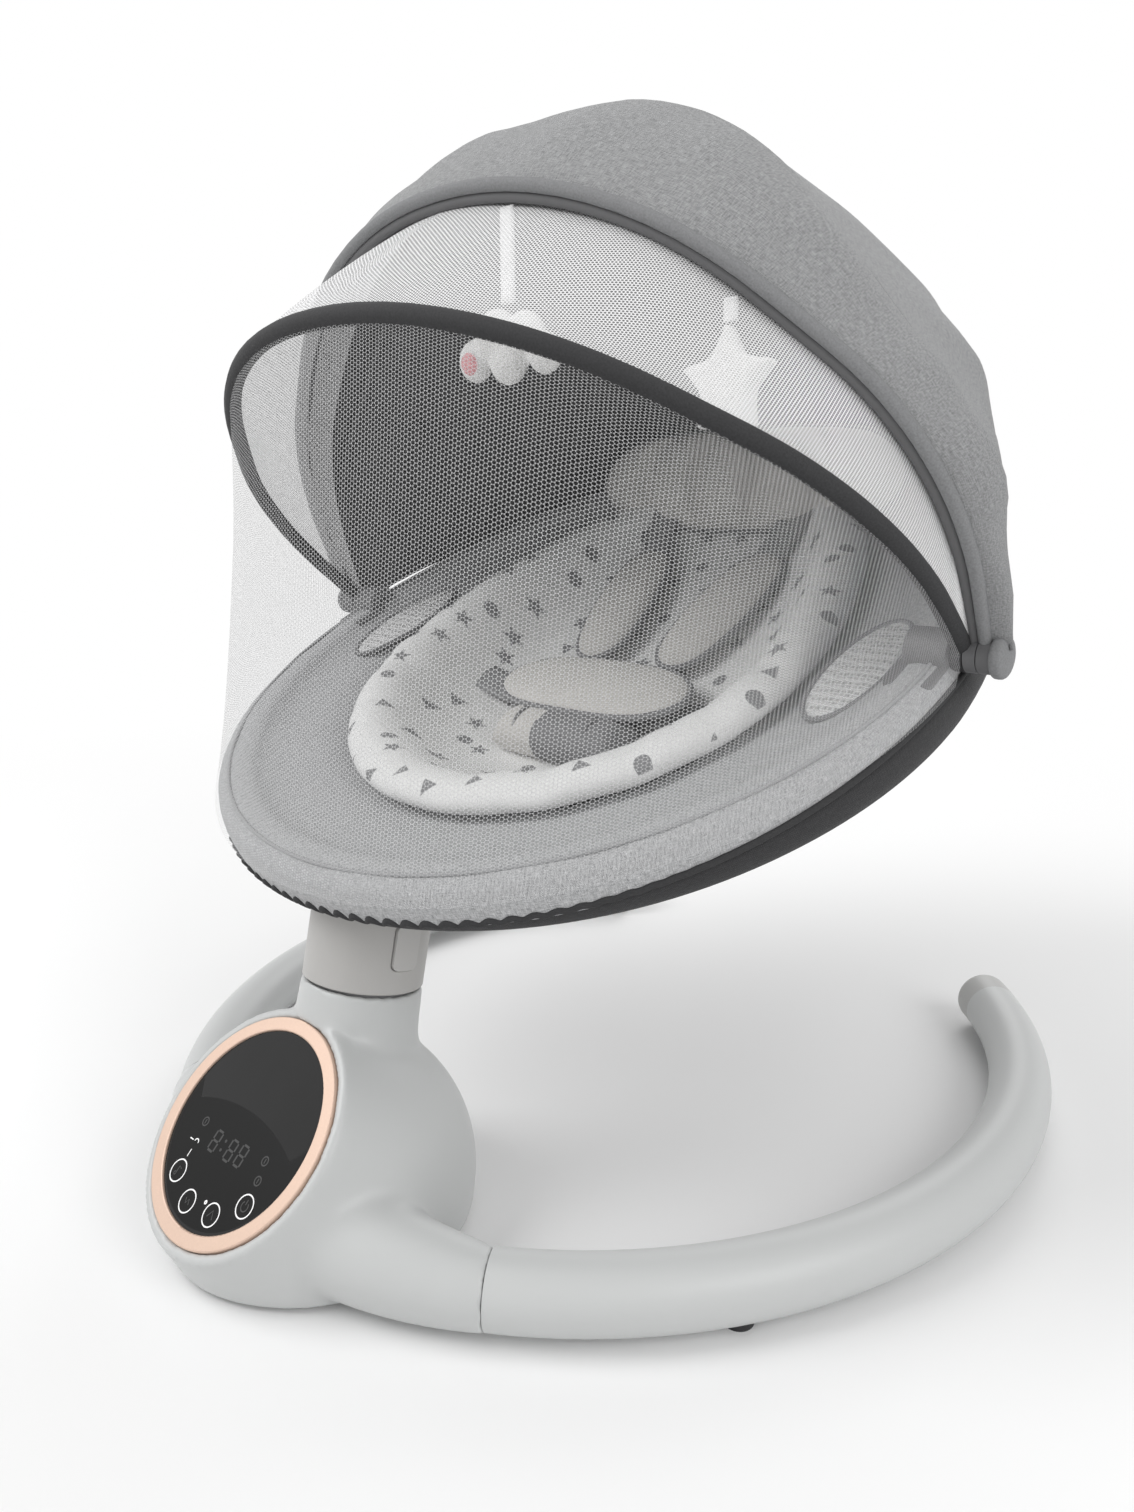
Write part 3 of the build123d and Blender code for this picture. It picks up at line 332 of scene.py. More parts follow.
steel = metal("bearing_steel", (0.62, 0.62, 0.64, 1), 0.25)
dress(steel, "upper_bearing", "lower_bearing", "swing_shaft", "cover_screws", "release_spring")
dress(metal("copper_wire", (0.70, 0.36, 0.18, 1), 0.35), "drive_coil")
dress(metal("magnet_nickel", (0.42, 0.42, 0.44, 1), 0.3), "drive_magnet")
dress(moulded("board_green", (0.03, 0.17, 0.08, 1), 0.45), "panel_board", "main_board")
dress(moulded("socket_black", (0.02, 0.02, 0.021, 1), 0.45), "speaker", "power_socket")

# Control panel: a black glass-like touch disc in a rose gold ring. Touch marks, a clock
# and small signs are printed behind the glass, and a lower field is a shade darker.
shade, surface, bezel_gold = finish("rose_gold")
where = shade.node("TexCoord", output="Object")
grain = speckle(where, 900.0)
grain.mix((0.63, 0.46, 0.365, 1), (0.71, 0.525, 0.42, 1)).into(surface, "Base Color")
(grain * 0.12 + 0.36).into(surface, "Roughness")
steady(surface, Metallic=0.25, Specular_IOR_Level=0.3)
dress(bezel_gold, "panel_bezel")

shade, surface, black_glass = finish("black_glass")
where = shade.node("TexCoord", output="Object")
smear = speckle(where, 26.0, 4.0)
smear.mix(grey(0.012), grey(0.017)).into(surface, "Base Color")
(smear * 0.05 + 0.07).into(surface, "Roughness")
steady(surface, Specular_IOR_Level=0.28)
dress(black_glass, "touch_panel")


def ink(name, level, painted_glow):
    """Thin screen print behind the glass; painted_glow is painted light that keeps it bright there."""
    shade, surface, made = finish(name)
    where = shade.node("TexCoord", output="Object")
    speck = speckle(where, 2500.0)
    speck.mix(grey(level * 0.9), grey(level)).into(surface, "Base Color")
    steady(surface, Roughness=0.35, Specular_IOR_Level=0.15)
    steady(surface, Emission_Color=grey(level), Emission_Strength=painted_glow)
    return made


# The white marks carry a painted glow; the faint print and the dark field have none.
print_white = ink("print_white", 0.80, 0.30)
print_faint = ink("print_faint", 0.075, 0.0)
field_dark = ink("field_dark", 0.004, 0.0)
PRINT_LIFT = 0.00012
GLASS_LIFT = -0.0005


def on_panel(x, up, lift=PRINT_LIFT):
    """A place on the panel from its middle, in metres."""
    return PANEL + Vector((x, 0, 0)) + PANEL_UP * up + PANEL_OUT * (GLASS_LIFT + lift)


def band(bm, path_points, width):
    """A flat printed line of even width along points on the panel."""
    closed = path_points[0] == path_points[-1]
    stations = path_points[:-1] if closed else path_points
    rails = []
    for i, (x, y) in enumerate(stations):
        before = stations[i - 1] if closed or i else stations[i]
        after = stations[(i + 1) % len(stations)] if closed or i + 1 < len(stations) else stations[i]
        run = Vector((after[0] - before[0], after[1] - before[1]))
        across = Vector((-run.y, run.x)).normalized() * (width / 2)
        rails.append([bm.verts.new(on_panel(x + s * across.x, y + s * across.y)) for s in (-1, 1)])
    pairs = list(zip(rails, rails[1:] + rails[:1])) if closed else list(zip(rails, rails[1:]))
    for (a, b), (c, d) in pairs:
        bm.faces.new((a, c, d, b))


def ring_points(x, y, radius, start=0.0, end=360.0, steps=40):
    """Points along an arc on the panel, degrees from the right hand side."""
    spots = [start + (end - start) * i / steps for i in range(steps + 1)]
    made = [(x + radius * cos(radians(a)), y + radius * sin(radians(a))) for a in spots]
    if end - start == 360.0:
        made[-1] = made[0]
    return made


TOUCH_REACH = 0.0425
TOUCH_RADIUS = 0.0056
TOUCH_DEGS = (-126.5, -98.0, -69.5, -40.0)
RING_LINE, SIGN_LINE, DIGIT_LINE = 0.0007, 0.0006, 0.0011
NOTE = ((-0.0006, -0.0018), (-0.0006, 0.0022), (0.0016, 0.0014))
WAVE = ((-0.002, 0.0012), (-0.0007, -0.0012), (0.0007, 0.0012), (0.002, -0.0012))
PEAK = ((-0.0022, -0.0016), (0, 0.0022), (0.0022, -0.0016))
POWER = ((0, 0.0008), (0, 0.0034))
marks, faint = bmesh.new(), bmesh.new()
for degree, sign in zip(TOUCH_DEGS, (NOTE, WAVE, PEAK, POWER)):
    x, y = TOUCH_REACH * cos(radians(degree)), TOUCH_REACH * sin(radians(degree))
    band(marks, ring_points(x, y, TOUCH_RADIUS), RING_LINE)
    band(faint, [(x + right, y + up) for right, up in sign], SIGN_LINE)
    if sign is NOTE:
        band(faint, ring_points(x - 0.0013, y - 0.0018, 0.0008, steps=16), 0.0005)
    if sign is POWER:
        band(faint, ring_points(x, y, 0.0024, -230, 50, 20), SIGN_LINE)
band(marks, ring_points(0.0066, -0.0370, 0.0007, steps=12), 0.0008)
lock_x, lock_y = -0.0275, -0.0205
band(marks, [(lock_x - 0.004, lock_y + 0.002), (lock_x - 0.001, lock_y + 0.002)], SIGN_LINE)
band(marks, ring_points(lock_x + 0.002, lock_y + 0.002, 0.0016, 0, 180, 10), SIGN_LINE)
band(marks, [(lock_x + 0.002, lock_y - 0.002), (lock_x + 0.002, lock_y - 0.006)], SIGN_LINE)
piece(marks, "touch_marks", print_white, "base")

DIGIT_HALF = 0.0026
DIGIT_TALL = 0.0052
for digit_x, digit_y in ((-0.0125, -0.0125), (0.0018, -0.0118), (0.0108, -0.0108)):
    for level in (-1, 0, 1):
        bar_y = digit_y + level * DIGIT_TALL
        band(faint, [(digit_x - DIGIT_HALF * 0.8, bar_y), (digit_x + DIGIT_HALF * 0.8, bar_y)], DIGIT_LINE)
    for side in (-1, 1):
        for half in (-1, 1):
            middle = digit_y + half * DIGIT_TALL / 2
            edge = digit_x + side * DIGIT_HALF
            band(faint, [(edge, middle - DIGIT_TALL * 0.4), (edge, middle + DIGIT_TALL * 0.4)], DIGIT_LINE)
for half in (-1, 1):
    band(faint, ring_points(-0.0054, -0.0120 + half * 0.0024, 0.0005, steps=10), RING_LINE)
for sign_x, sign_y in ((-0.028, -0.008), (0.028, -0.006), (0.031, -0.015)):
    band(faint, ring_points(sign_x, sign_y, 0.0022, steps=20), RING_LINE)
    band(faint, [(sign_x, sign_y - 0.0012), (sign_x, sign_y + 0.0012)], RING_LINE)
piece(faint, "clock_marks", print_faint, "base")

field = bmesh.new()
FIELD_REACH = 0.0505
FIELD_TOP = 0.0085
FIELD_BEND = 0.115
arc = ring_points(0, 0, FIELD_REACH, -190, 10, 60)
crest = ring_points(0, FIELD_TOP - FIELD_BEND, FIELD_BEND, 66, 114, 24)
rim = [(x, y) for x, y in arc + crest[1:-1] if hypot(x, y) <= FIELD_REACH * 1.001]
field.faces.new([field.verts.new(on_panel(x, y, PRINT_LIFT / 2)) for x, y in rim])
bmesh.ops.recalc_face_normals(field, faces=field.faces)
piece(field, "touch_field", field_dark, "base")

# Column: a warm grey moulded sleeve that sways on the neck, with a release button on each
# side. The bracket on top of it carries the seat's tubes.
column_plastic = moulded("column_plastic", (0.445, 0.437, 0.424, 1), 0.44)
button_plastic = moulded("button_plastic", (0.49, 0.482, 0.47, 1), 0.42)
dress(column_plastic, "column_sleeve", "seat_bracket")
dress(button_plastic, "right_release_button", "left_release_button")

# Seat frame: bent steel tubes in a grey powder coat, plugged together by joiners. Dark plastic
# hubs sit on its sides, and the canopy turns on their pins.
tube_steel = moulded("tube_coat", (0.36, 0.36, 0.37, 1), 0.45)
hub_plastic = moulded("hub_plastic", (0.15, 0.15, 0.153, 1), 0.5)
dress(tube_steel, "right_front_tube", "left_front_tube", "rear_tube", "right_tube_joiner", "left_tube_joiner")
dress(hub_plastic, "right_hood_hub", "left_hood_hub", "right_pivot_pin", "left_pivot_pin")

# Seat cover: a grey melange sheath sewn round the ring tube and padded at its edge. A shelf of
# the same cloth runs in from the edge to the cushion.
SEAT = Vector((0, -0.2142, 0.1894))
SEAT_RISE = 25.0
SEAT_ALONG = Vector((0, cos(radians(SEAT_RISE)), sin(radians(SEAT_RISE))))
SEAT_UP = Vector((0, -sin(radians(SEAT_RISE)), cos(radians(SEAT_RISE))))
WIDEST = 0.242
RING_OUTLINE = (0.014, 0.545, 0.228, 0.100)
HANDS = ((1, "right"), (-1, "left"))


def seat_point(x, along, level, turn=0.0):
    """A place over the seat: across, from front to head, and off a plane turned up at the head."""
    steep = radians(SEAT_RISE + turn)
    middle = SEAT + WIDEST * SEAT_ALONG + level * SEAT_UP
    return middle + Vector((x, 0, 0)) + (along - WIDEST) * Vector((0, cos(steep), sin(steep)))


def egg(outline, angle):
    """The point of an egg outline whose outward direction is at angle from the right hand side."""
    front, rear, half, tail = outline
    side = -1 if cos(angle) < 0 else 1
    facing = atan2(sin(angle), abs(cos(angle)))
    gap = rear - tail - front - half
    flank = (half**2 + gap**2 - tail**2) / (2 * (half - tail))
    turn = atan2(gap, flank - half)
    if facing <= 0:
        return side * half * cos(facing), front + half + half * sin(facing)
    if facing <= turn:
        return side * (half - flank + flank * cos(facing)), front + half + flank * sin(facing)
    return side * tail * cos(facing), rear - tail + tail * sin(facing)


def woven(bm, place_of):
    """Gives a sheet its weave UVs, in metres, from a place for each vertex."""
    uv = bm.loops.layers.uv.new("weave")
    for face in bm.faces:
        for loop in face.loops:
            loop[uv].uv = place_of(loop.vert)


def loop_sheet(rows, around, closed=False):
    """A closed sleeve through egg-shaped rows, each (outline, level, turn, outset), in real-size UVs."""
    bm = bmesh.new()
    bmesh.ops.create_grid(bm, x_segments=around, y_segments=len(rows) - 1, size=0.5)
    laid = [row(0.0) if callable(row) else row for row in rows]
    girth = 4 * laid[0][0][2] + 2 * laid[0][0][1]
    reach = [0.0]
    for (one, low, _, inner), (two, high, _, outer) in zip(laid, laid[1:]):
        reach.append(reach[-1] + hypot(two[2] + outer - one[2] - inner, high - low))
    places = {}
    bm.verts.index_update()
    last = [vert for vert in bm.verts if vert.co.y > 0.4999]
    for vert in bm.verts:
        share, row = vert.co.x + 0.5, round((vert.co.y + 0.5) * (len(rows) - 1))
        places[vert.index] = (share * girth, reach[row])
        angle = 2 * pi * share - pi / 2
        outline, level, turn, outset = rows[row](angle) if callable(rows[row]) else rows[row]
        x, along = egg(outline, angle)
        vert.co = seat_point(x + outset * cos(angle), along + outset * sin(angle), level, turn)
    woven(bm, lambda vert: places[vert.index])
    if closed:
        bmesh.ops.pointmerge(bm, verts=last, merge_co=sum((vert.co for vert in last), Vector()) / len(last))
    bmesh.ops.remove_doubles(bm, verts=bm.verts, dist=0.00005)
    bmesh.ops.recalc_face_normals(bm, faces=bm.faces)
    return bm


def subdivide(made, levels):
    """Smooth rounding of a piece by subdivision."""
    rounding = made.modifiers.new("rounding", "SUBSURF")
    rounding.levels = rounding.render_levels = levels
    return made


def thicken(made, thick, offset=-1.0):
    """Gives a sheet its cloth thickness."""
    wall = made.modifiers.new("cloth", "SOLIDIFY")
    wall.thickness = thick
    wall.offset = offset
    return wall


def melange(name, dark, light, pitch=0.0011, sheen=0.08):
    """Grey melange cloth: two tones of yarn in a plain weave, with long flecks and a soft bloom."""
    shade, surface, made = finish(name)
    uv = shade.node("UVMap", {"uv_map": "weave"})
    warp = shade.node("Mapping", (), {"Vector": uv, "Scale": (240.0, 1500.0, 1.0)})
    weft = shade.node("Mapping", (), {"Vector": uv, "Scale": (1500.0, 240.0, 1.0)})
    fleck_up = speckle(warp, 1.0, 3.0)
    fleck_over = speckle(weft, 1.0, 3.0)
    tone = shade.node("MapRange", (), {0: fleck_up + fleck_over, 1: 0.72, 2: 1.28})
    tone.mix(dark, light).into(surface, "Base Color")
    split = shade.node("SeparateXYZ", (), {0: uv})
    across = shade.math("SINE", split * (2 * pi / pitch))
    along = shade.math("SINE", split.other(1) * (2 * pi / pitch))
    rib = across * along
    relief(surface, rib * 0.5 + tone, 0.5, 0.0005)
    (tone * 0.10 + 0.80).into(surface, "Roughness")
    steady(surface, Sheen_Weight=sheen, Sheen_Roughness=0.5)
    return made


cover_fabric = melange("cover_fabric", (0.26, 0.263, 0.268, 1), (0.60, 0.603, 0.61, 1))
EDGE_RADIUS = 0.0152
HEM_TURNS = (-22, 0, 22, 45, 68, 90, 112, 135, 152)
EDGE_SQUARE = 0.68


def squared(value, exponent):
    """A signed power, which squares up a round form."""
    return abs(value) ** exponent * (1 if value >= 0 else -1)


cover_rows = [
    (
        RING_OUTLINE,
        EDGE_RADIUS * squared(sin(radians(turn)), EDGE_SQUARE),
        0.0,
        EDGE_RADIUS * squared(cos(radians(turn)), EDGE_SQUARE),
    )
    for turn in HEM_TURNS
]
cover_rows += [
    ((0.040, 0.524, 0.202, 0.084), 0.0035, 0.0, 0.0),
    ((0.058, 0.515, 0.184, 0.082), 0.0010, 0.3, 0.0),
    ((0.072, 0.509, 0.170, 0.081), -0.0040, 0.9, 0.0),
    ((0.082, 0.503, 0.160, 0.078), -0.0095, 1.5, 0.0),
    ((0.092, 0.496, 0.150, 0.072), -0.0100, 1.5, 0.0),
]
cover_mesh = loop_sheet(cover_rows, 144)
for vert in cover_mesh.verts:
    vert.co += SEAT_UP * (0.0011 * noise.noise(vert.co * 34.0) + 0.0005 * noise.noise(vert.co * 90.0))
cover = subdivide(piece(cover_mesh, "seat_cover_top", cover_fabric, "swing"), 1)
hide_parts("seat_cover")

# Seat underside: a dark woven sling that wraps the tube from below and hangs under the cushion.
# A gathered elastic holds its hem, and a pale seam is sewn along the crest of the padded edge.
sling_black = melange("sling_black", (0.012, 0.012, 0.013, 1), (0.035, 0.035, 0.037, 1), 0.0016, 0.1)
HEM_FRONT, HEM_SIDE, HEM_INNER = -26.0, 16.0, 115.0
HEM_SLACK = 0.38
SLING_THICK = 0.0012
EDGE_WRAP = 1.03 * EDGE_RADIUS


def hem_turn(angle):
    """How far round the tube the dark underside starts, in degrees: low in front, higher at the sides."""
    front, head = max(0.0, -sin(angle)), max(0.0, sin(angle))
    return HEM_SIDE + (HEM_FRONT - HEM_SIDE) * (front**2 * (3 - 2 * front) + head**2)


def slack(angle):
    """How loosely the underside hangs on the tube: most at the sides, tight in front and at the head."""
    front, head = max(0.0, -sin(angle)), max(0.0, sin(angle))
    return (1 - front**3) * (1 - head) ** 2


def under_row(share):
    """A row of the underside, share of the way from the hem to the tube's inner side."""

    def row(angle):
        low = radians(hem_turn(angle) * (1 - share) - HEM_INNER * share)
        reach = EDGE_WRAP * (1 + HEM_SLACK * sin(pi * share) * slack(angle))
        bend = max(EDGE_SQUARE, 1 - share)
        return RING_OUTLINE, reach * squared(sin(low), bend), 0.0, reach * squared(cos(low), bend)

    return row


sling_rows = [under_row(share) for share in (0.0, 0.2, 0.4, 0.6, 0.8, 1.0)]
sling_rows += [
    ((0.050, 0.522, 0.192, 0.088), -0.0130, 0.6, 0.0),
    ((0.076, 0.507, 0.166, 0.081), -0.0185, 1.5, 0.0),
    ((0.100, 0.490, 0.146, 0.075), -0.0300, 4.5, 0.0),
    ((0.126, 0.474, 0.129, 0.070), -0.0435, 8.0, 0.0),
    ((0.156, 0.456, 0.112, 0.066), -0.0570, 10.5, 0.0),
    ((0.190, 0.434, 0.092, 0.058), -0.0675, 12.0, 0.0),
    ((0.240, 0.390, 0.052, 0.034), -0.0685, 12.0, 0.0),
    ((0.296, 0.316, 0.010, 0.006), -0.0685, 12.0, 0.0),
]
sling_mesh = loop_sheet(sling_rows, 96, closed=True)
sling = subdivide(piece(sling_mesh, "seat_sling", sling_black, "swing"), 1)
thicken(sling, SLING_THICK)


def tube(name, points, radius, made, body, closed=False):
    """A round sewn piping or cord along points, as a mesh."""
    line = bpy.data.curves.new(name, "CURVE")
    line.dimensions = "3D"
    line.bevel_depth = radius
    line.bevel_resolution = 3
    line.use_fill_caps = True
    spline = line.splines.new("POLY")
    spline.points.add(len(points) - 1)
    for spot, point in zip(spline.points, points):
        spot.co = (*point, 1.0)
    spline.use_cyclic_u = closed
    draft = bpy.data.objects.new(name, line)
    bpy.context.collection.objects.link(draft)
    return piece(settled(draft), name, made, body)


def yarn(name, dark, light):
    """Fine knitted or braided trim, read in object space."""
    shade, surface, made = finish(name)
    where = shade.node("TexCoord", output="Object")
    speck = speckle(where, 1100.0)
    speck.mix(dark, light).into(surface, "Base Color")
    relief(surface, speck, 0.6, 0.0004)
    steady(surface, Roughness=0.85)
    return made


trim_dark = yarn("trim_dark", (0.016, 0.016, 0.017, 1), (0.042, 0.042, 0.044, 1))
trim_grey = yarn("trim_grey", (0.16, 0.16, 0.163, 1), (0.26, 0.26, 0.265, 1))
trim_pale = yarn("trim_pale", (0.26, 0.262, 0.266, 1), (0.40, 0.402, 0.408, 1))
CREASE_TURN = 82.0
SEAM_RADIUS, ELASTIC_RADIUS = 0.0011, 0.0017
HEM_STEPS = 1180
HEM_SCALLOPS = 138
HEM_RUFFLE = 9.74


def rim_line(first, last, count, wrap, turn_of, square=1.0):
    """Points round the padded edge from angle first to last, wrap from its core, turned by turn_of."""
    made = []
    for i in range(count + 1):
        angle = first + (last - first) * i / count
        x, along = egg(RING_OUTLINE, angle)
        turn = radians(turn_of(i / count))
        out = wrap * squared(cos(turn), square)
        level = wrap * squared(sin(turn), square)
        made.append(seat_point(x + out * cos(angle), along + out * sin(angle), level))
    return made


def ruffled(share):
    """The elastic's turn round the tube, in degrees, with gathered scallops in front."""
    angle = 2 * pi * share - pi / 2
    ruffle = HEM_RUFFLE * max(0.0, -sin(angle)) ** 6
    return hem_turn(angle) + ruffle * cos(HEM_SCALLOPS * 2 * pi * share)


crease_line = rim_line(0, 2 * pi, 240, EDGE_RADIUS, lambda share: CREASE_TURN, EDGE_SQUARE)[:-1]
tube("seat_edge_seam", crease_line, SEAM_RADIUS, trim_pale, "swing", closed=True)
hem_line = rim_line(-pi / 2, 1.5 * pi, HEM_STEPS, EDGE_WRAP, ruffled)[:-1]
tube("seat_hem_elastic", hem_line, ELASTIC_RADIUS, trim_dark, "swing", closed=True)

# Side vents: an oval of white spacer mesh on each side, let into the shelf of the cover so
# that air gets to the seat. A grey cord is stitched round its border.
shade, surface, spacer_mesh = finish("spacer_mesh")
where = shade.node("TexCoord", output="Object")
cells = shade.node(
    "TexVoronoi", {"feature": "DISTANCE_TO_EDGE"}, {"Vector": where, "Scale": 290.0, "Randomness": 0.25}
)
knit_and_hole_shade = shade.node("MapRange", (), {0: cells, 1: 0.05, 2: 0.3})
# Hole centres are darker than the yarns: painted shade in the holes. The same map sinks the holes through the
# bump.
knit_and_hole_shade.mix(grey(0.74), grey(0.40)).into(surface, "Base Color")
bump = shade.node("Bump", {"invert": True}, {"Height": knit_and_hole_shade, "Strength": 0.8, "Distance": 0.0008})
bump.into(surface, "Normal")
steady(surface, Roughness=0.8)
VENT_OUT, VENT_ALONG, VENT_LEVEL = 0.189, 0.252, 0.0042
VENT_HALF = (0.019, 0.050)
VENT_TILT = 0.06
VENT_PUFF = 0.0016
VENT_CORD = 0.0016


def vent_point(side, x, y, lift=0.0):
    """A place on a side vent from its middle, in halves of its size."""
    across = VENT_HALF[0] * x
    level = VENT_LEVEL + VENT_TILT * across + lift
    return seat_point(side * (VENT_OUT + across), VENT_ALONG + VENT_HALF[1] * y, level)


for side, hand in HANDS:
    vent_mesh = bmesh.new()
    bmesh.ops.create_circle(vent_mesh, cap_ends=True, cap_tris=True, radius=1.0, segments=56)
    bmesh.ops.subdivide_edges(vent_mesh, edges=vent_mesh.edges, cuts=3, use_grid_fill=True)
    border = [vent_point(side, cos(2 * pi * i / 72), sin(2 * pi * i / 72)) for i in range(72)]
    for vert in vent_mesh.verts:
        x, y, _ = vert.co
        vert.co = vent_point(side, x, y, VENT_PUFF * (1 - x * x - y * y))
    bmesh.ops.recalc_face_normals(vent_mesh, faces=vent_mesh.faces)
    piece(vent_mesh, hand + "_side_vent", spacer_mesh, "swing")
    tube(hand + "_vent_border", border, VENT_CORD, trim_grey, "swing", closed=True)

# Cushion: a soft quilted tub of white cotton printed with small grey stars, dots and
# triangles. A stuffed roll runs round its edge and the hollow is drawn in towards the seat.
shade, surface, pad_fabric = finish("pad_fabric")
where = shade.node("TexCoord", output="Object")
flat = shade.node("Mapping", (), {"Vector": where, "Rotation": (radians(-SEAT_RISE), 0, 0)})
PRINT_PITCH = 0.0275
motif = shade.node(
    "TexVoronoi",
    {"voronoi_dimensions": "2D"},
    {"Vector": flat, "Scale": 1 / PRINT_PITCH, "Randomness": 0.62},
)
pick = shade.node("SeparateColor", (), {0: motif.other("Color")})
spin = pick.other(1)
centre = motif.other("Position")
local = shade.node("VectorMath", {"operation": "SUBTRACT"}, {0: flat, 1: centre})
parts = shade.node("SeparateXYZ", (), {0: local})
mx, my = parts, parts.other(1)
span = shade.math("SQRT", mx * mx + my * my)
heading = shade.math("ARCTAN2", my, mx) + spin * 6.28


def wedge(corners):
    """The angle from the nearest point of a regular figure's spokes."""
    step = 2 * pi / corners
    folded = shade.math("MODULO", heading + 20 * pi, step)
    return shade.math("ABSOLUTE", folded - step / 2)


STAR_TIP, STAR_WAIST = 0.0074, 0.0031
TRIANGLE_IN, DOT_RADIUS = 0.0032, 0.0048
STAR_SHARE, DOT_SHARE = 0.45, 0.28
STEEPEST = 0.34
bend = wedge(5)
tip_x, tip_y = STAR_TIP * cos(pi / 5), STAR_TIP * sin(pi / 5)
edge_x, edge_y = -tip_y, tip_x - STAR_WAIST
edge = hypot(edge_x, edge_y)
to_spoke, off_spoke = span * shade.math("COSINE", bend), span * shade.math("SINE", bend)
star = to_spoke * (-edge_x / edge) + off_spoke * (-edge_y / edge) < STAR_WAIST * (-edge_x) / edge
triangle = span * shade.math("COSINE", wedge(3)) < TRIANGLE_IN
dot = span < DOT_RADIUS
is_star, is_dot = pick < STAR_SHARE, pick > 1 - DOT_SHARE
figure = is_star * star + is_dot * dot + (1 - is_star) * (1 - is_dot) * triangle
normal = shade.node("TexCoord", output="Normal")
facing = shade.node(
    "VectorMath", {"operation": "DOT_PRODUCT"}, {0: normal, 1: tuple(SEAT_UP)}, "Value"
)
figure = figure * (facing > STEEPEST)
thread = speckle(where, 700.0)
cotton = thread.mix((0.70, 0.70, 0.695, 1), (0.80, 0.80, 0.795, 1))
printed = thread.mix((0.19, 0.19, 0.195, 1), (0.27, 0.27, 0.275, 1))
figure.mix(cotton, printed).into(surface, "Base Color")
soft = speckle(where, 60.0, 3.0)
relief(surface, soft + thread * 0.12, 0.5, 0.002)
steady(surface, Roughness=0.85, Sheen_Weight=0.2)

pad_rows = [
    ((0.092, 0.494, 0.150, 0.070), -0.0085, 1.5, 0.0),
    ((0.082, 0.503, 0.160, 0.078), -0.0030, 1.5, 0.0),
    ((0.081, 0.504, 0.161, 0.079), 0.0040, 1.8, 0.0),
    ((0.086, 0.499, 0.156, 0.074), 0.0100, 2.0, 0.0),
    ((0.097, 0.490, 0.146, 0.066), 0.0130, 2.2, 0.0),
    ((0.108, 0.481, 0.135, 0.060), 0.0105, 2.8, 0.0),
    ((0.117, 0.474, 0.127, 0.056), 0.0030, 3.6, 0.0),
    ((0.126, 0.468, 0.120, 0.054), -0.0080, 5.0, 0.0),
    ((0.142, 0.458, 0.111, 0.052), -0.0220, 7.5, 0.0),
    ((0.166, 0.444, 0.099, 0.049), -0.0350, 9.8, 0.0),
    ((0.196, 0.424, 0.082, 0.045), -0.0440, 11.5, 0.0),
    ((0.236, 0.388, 0.052, 0.034), -0.0475, 12.0, 0.0),
    ((0.276, 0.340, 0.022, 0.014), -0.0478, 12.0, 0.0),
    ((0.302, 0.312, 0.004, 0.002), -0.0478, 12.0, 0.0),
]
pad_mesh = loop_sheet(pad_rows, 120, closed=True)
QUILT_SEGMENTS = 22
QUILT_MIDDLE = 0.28
QUILT_DEPTH = 0.0022
ROLL_LEVEL, ROLL_HALF = 0.008, 0.012
for vert in pad_mesh.verts:
    along = (vert.co - SEAT).dot(SEAT_ALONG)
    level = (vert.co - SEAT).dot(SEAT_UP)
    tuck = 0.5 + 0.5 * cos(QUILT_SEGMENTS * atan2(along - QUILT_MIDDLE, vert.co.x))
    on_roll = exp(-(((level - ROLL_LEVEL) / ROLL_HALF) ** 2))
    vert.co += SEAT_UP * (0.0016 * noise.noise(vert.co * 40) - QUILT_DEPTH * tuck**3 * on_roll)
cushion = subdivide(piece(pad_mesh, "seat_cushion", pad_fabric, "swing"), 1)
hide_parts("seat_pad")

# Head pillow and harness: brushed knit pads edged with grey piping. The shoulder pads and
# waist straps come out of the cushion and meet at the buckle under the belly pad.
shade, surface, soft_grey = finish("soft_grey")
where = shade.node("TexCoord", output="Object")
pile = speckle(where, 850.0, 3.0)
mottle = speckle(where, 45.0, 3.0)
tone = pile * 0.6 + mottle * 0.4
tone.mix((0.47, 0.455, 0.435, 1), (0.68, 0.662, 0.638, 1)).into(surface, "Base Color")
relief(surface, pile * 0.3 + mottle, 0.5, 0.0012)
steady(surface, Roughness=0.9, Sheen_Weight=0.35)


def lay(origin, lean, sway=0.0):
    """A frame at origin whose face points up and forward by lean, turned in its own plane."""
    up = Vector((0, -sin(radians(lean)), cos(radians(lean))))
    along = Vector((0, cos(radians(lean)), sin(radians(lean))))
    place = Matrix((Vector((1, 0, 0)), along, up)).transposed().to_4x4()
    return Matrix.Translation(origin) @ place @ Matrix.Rotation(radians(sway), 4, "Z")


CHANNEL_HALF, CHANNEL_DEPTH = 0.0078, 0.52
CROWN_BEND = 0.42
PIPING_RADIUS, PIPING_OUT = 0.0024, 1.005


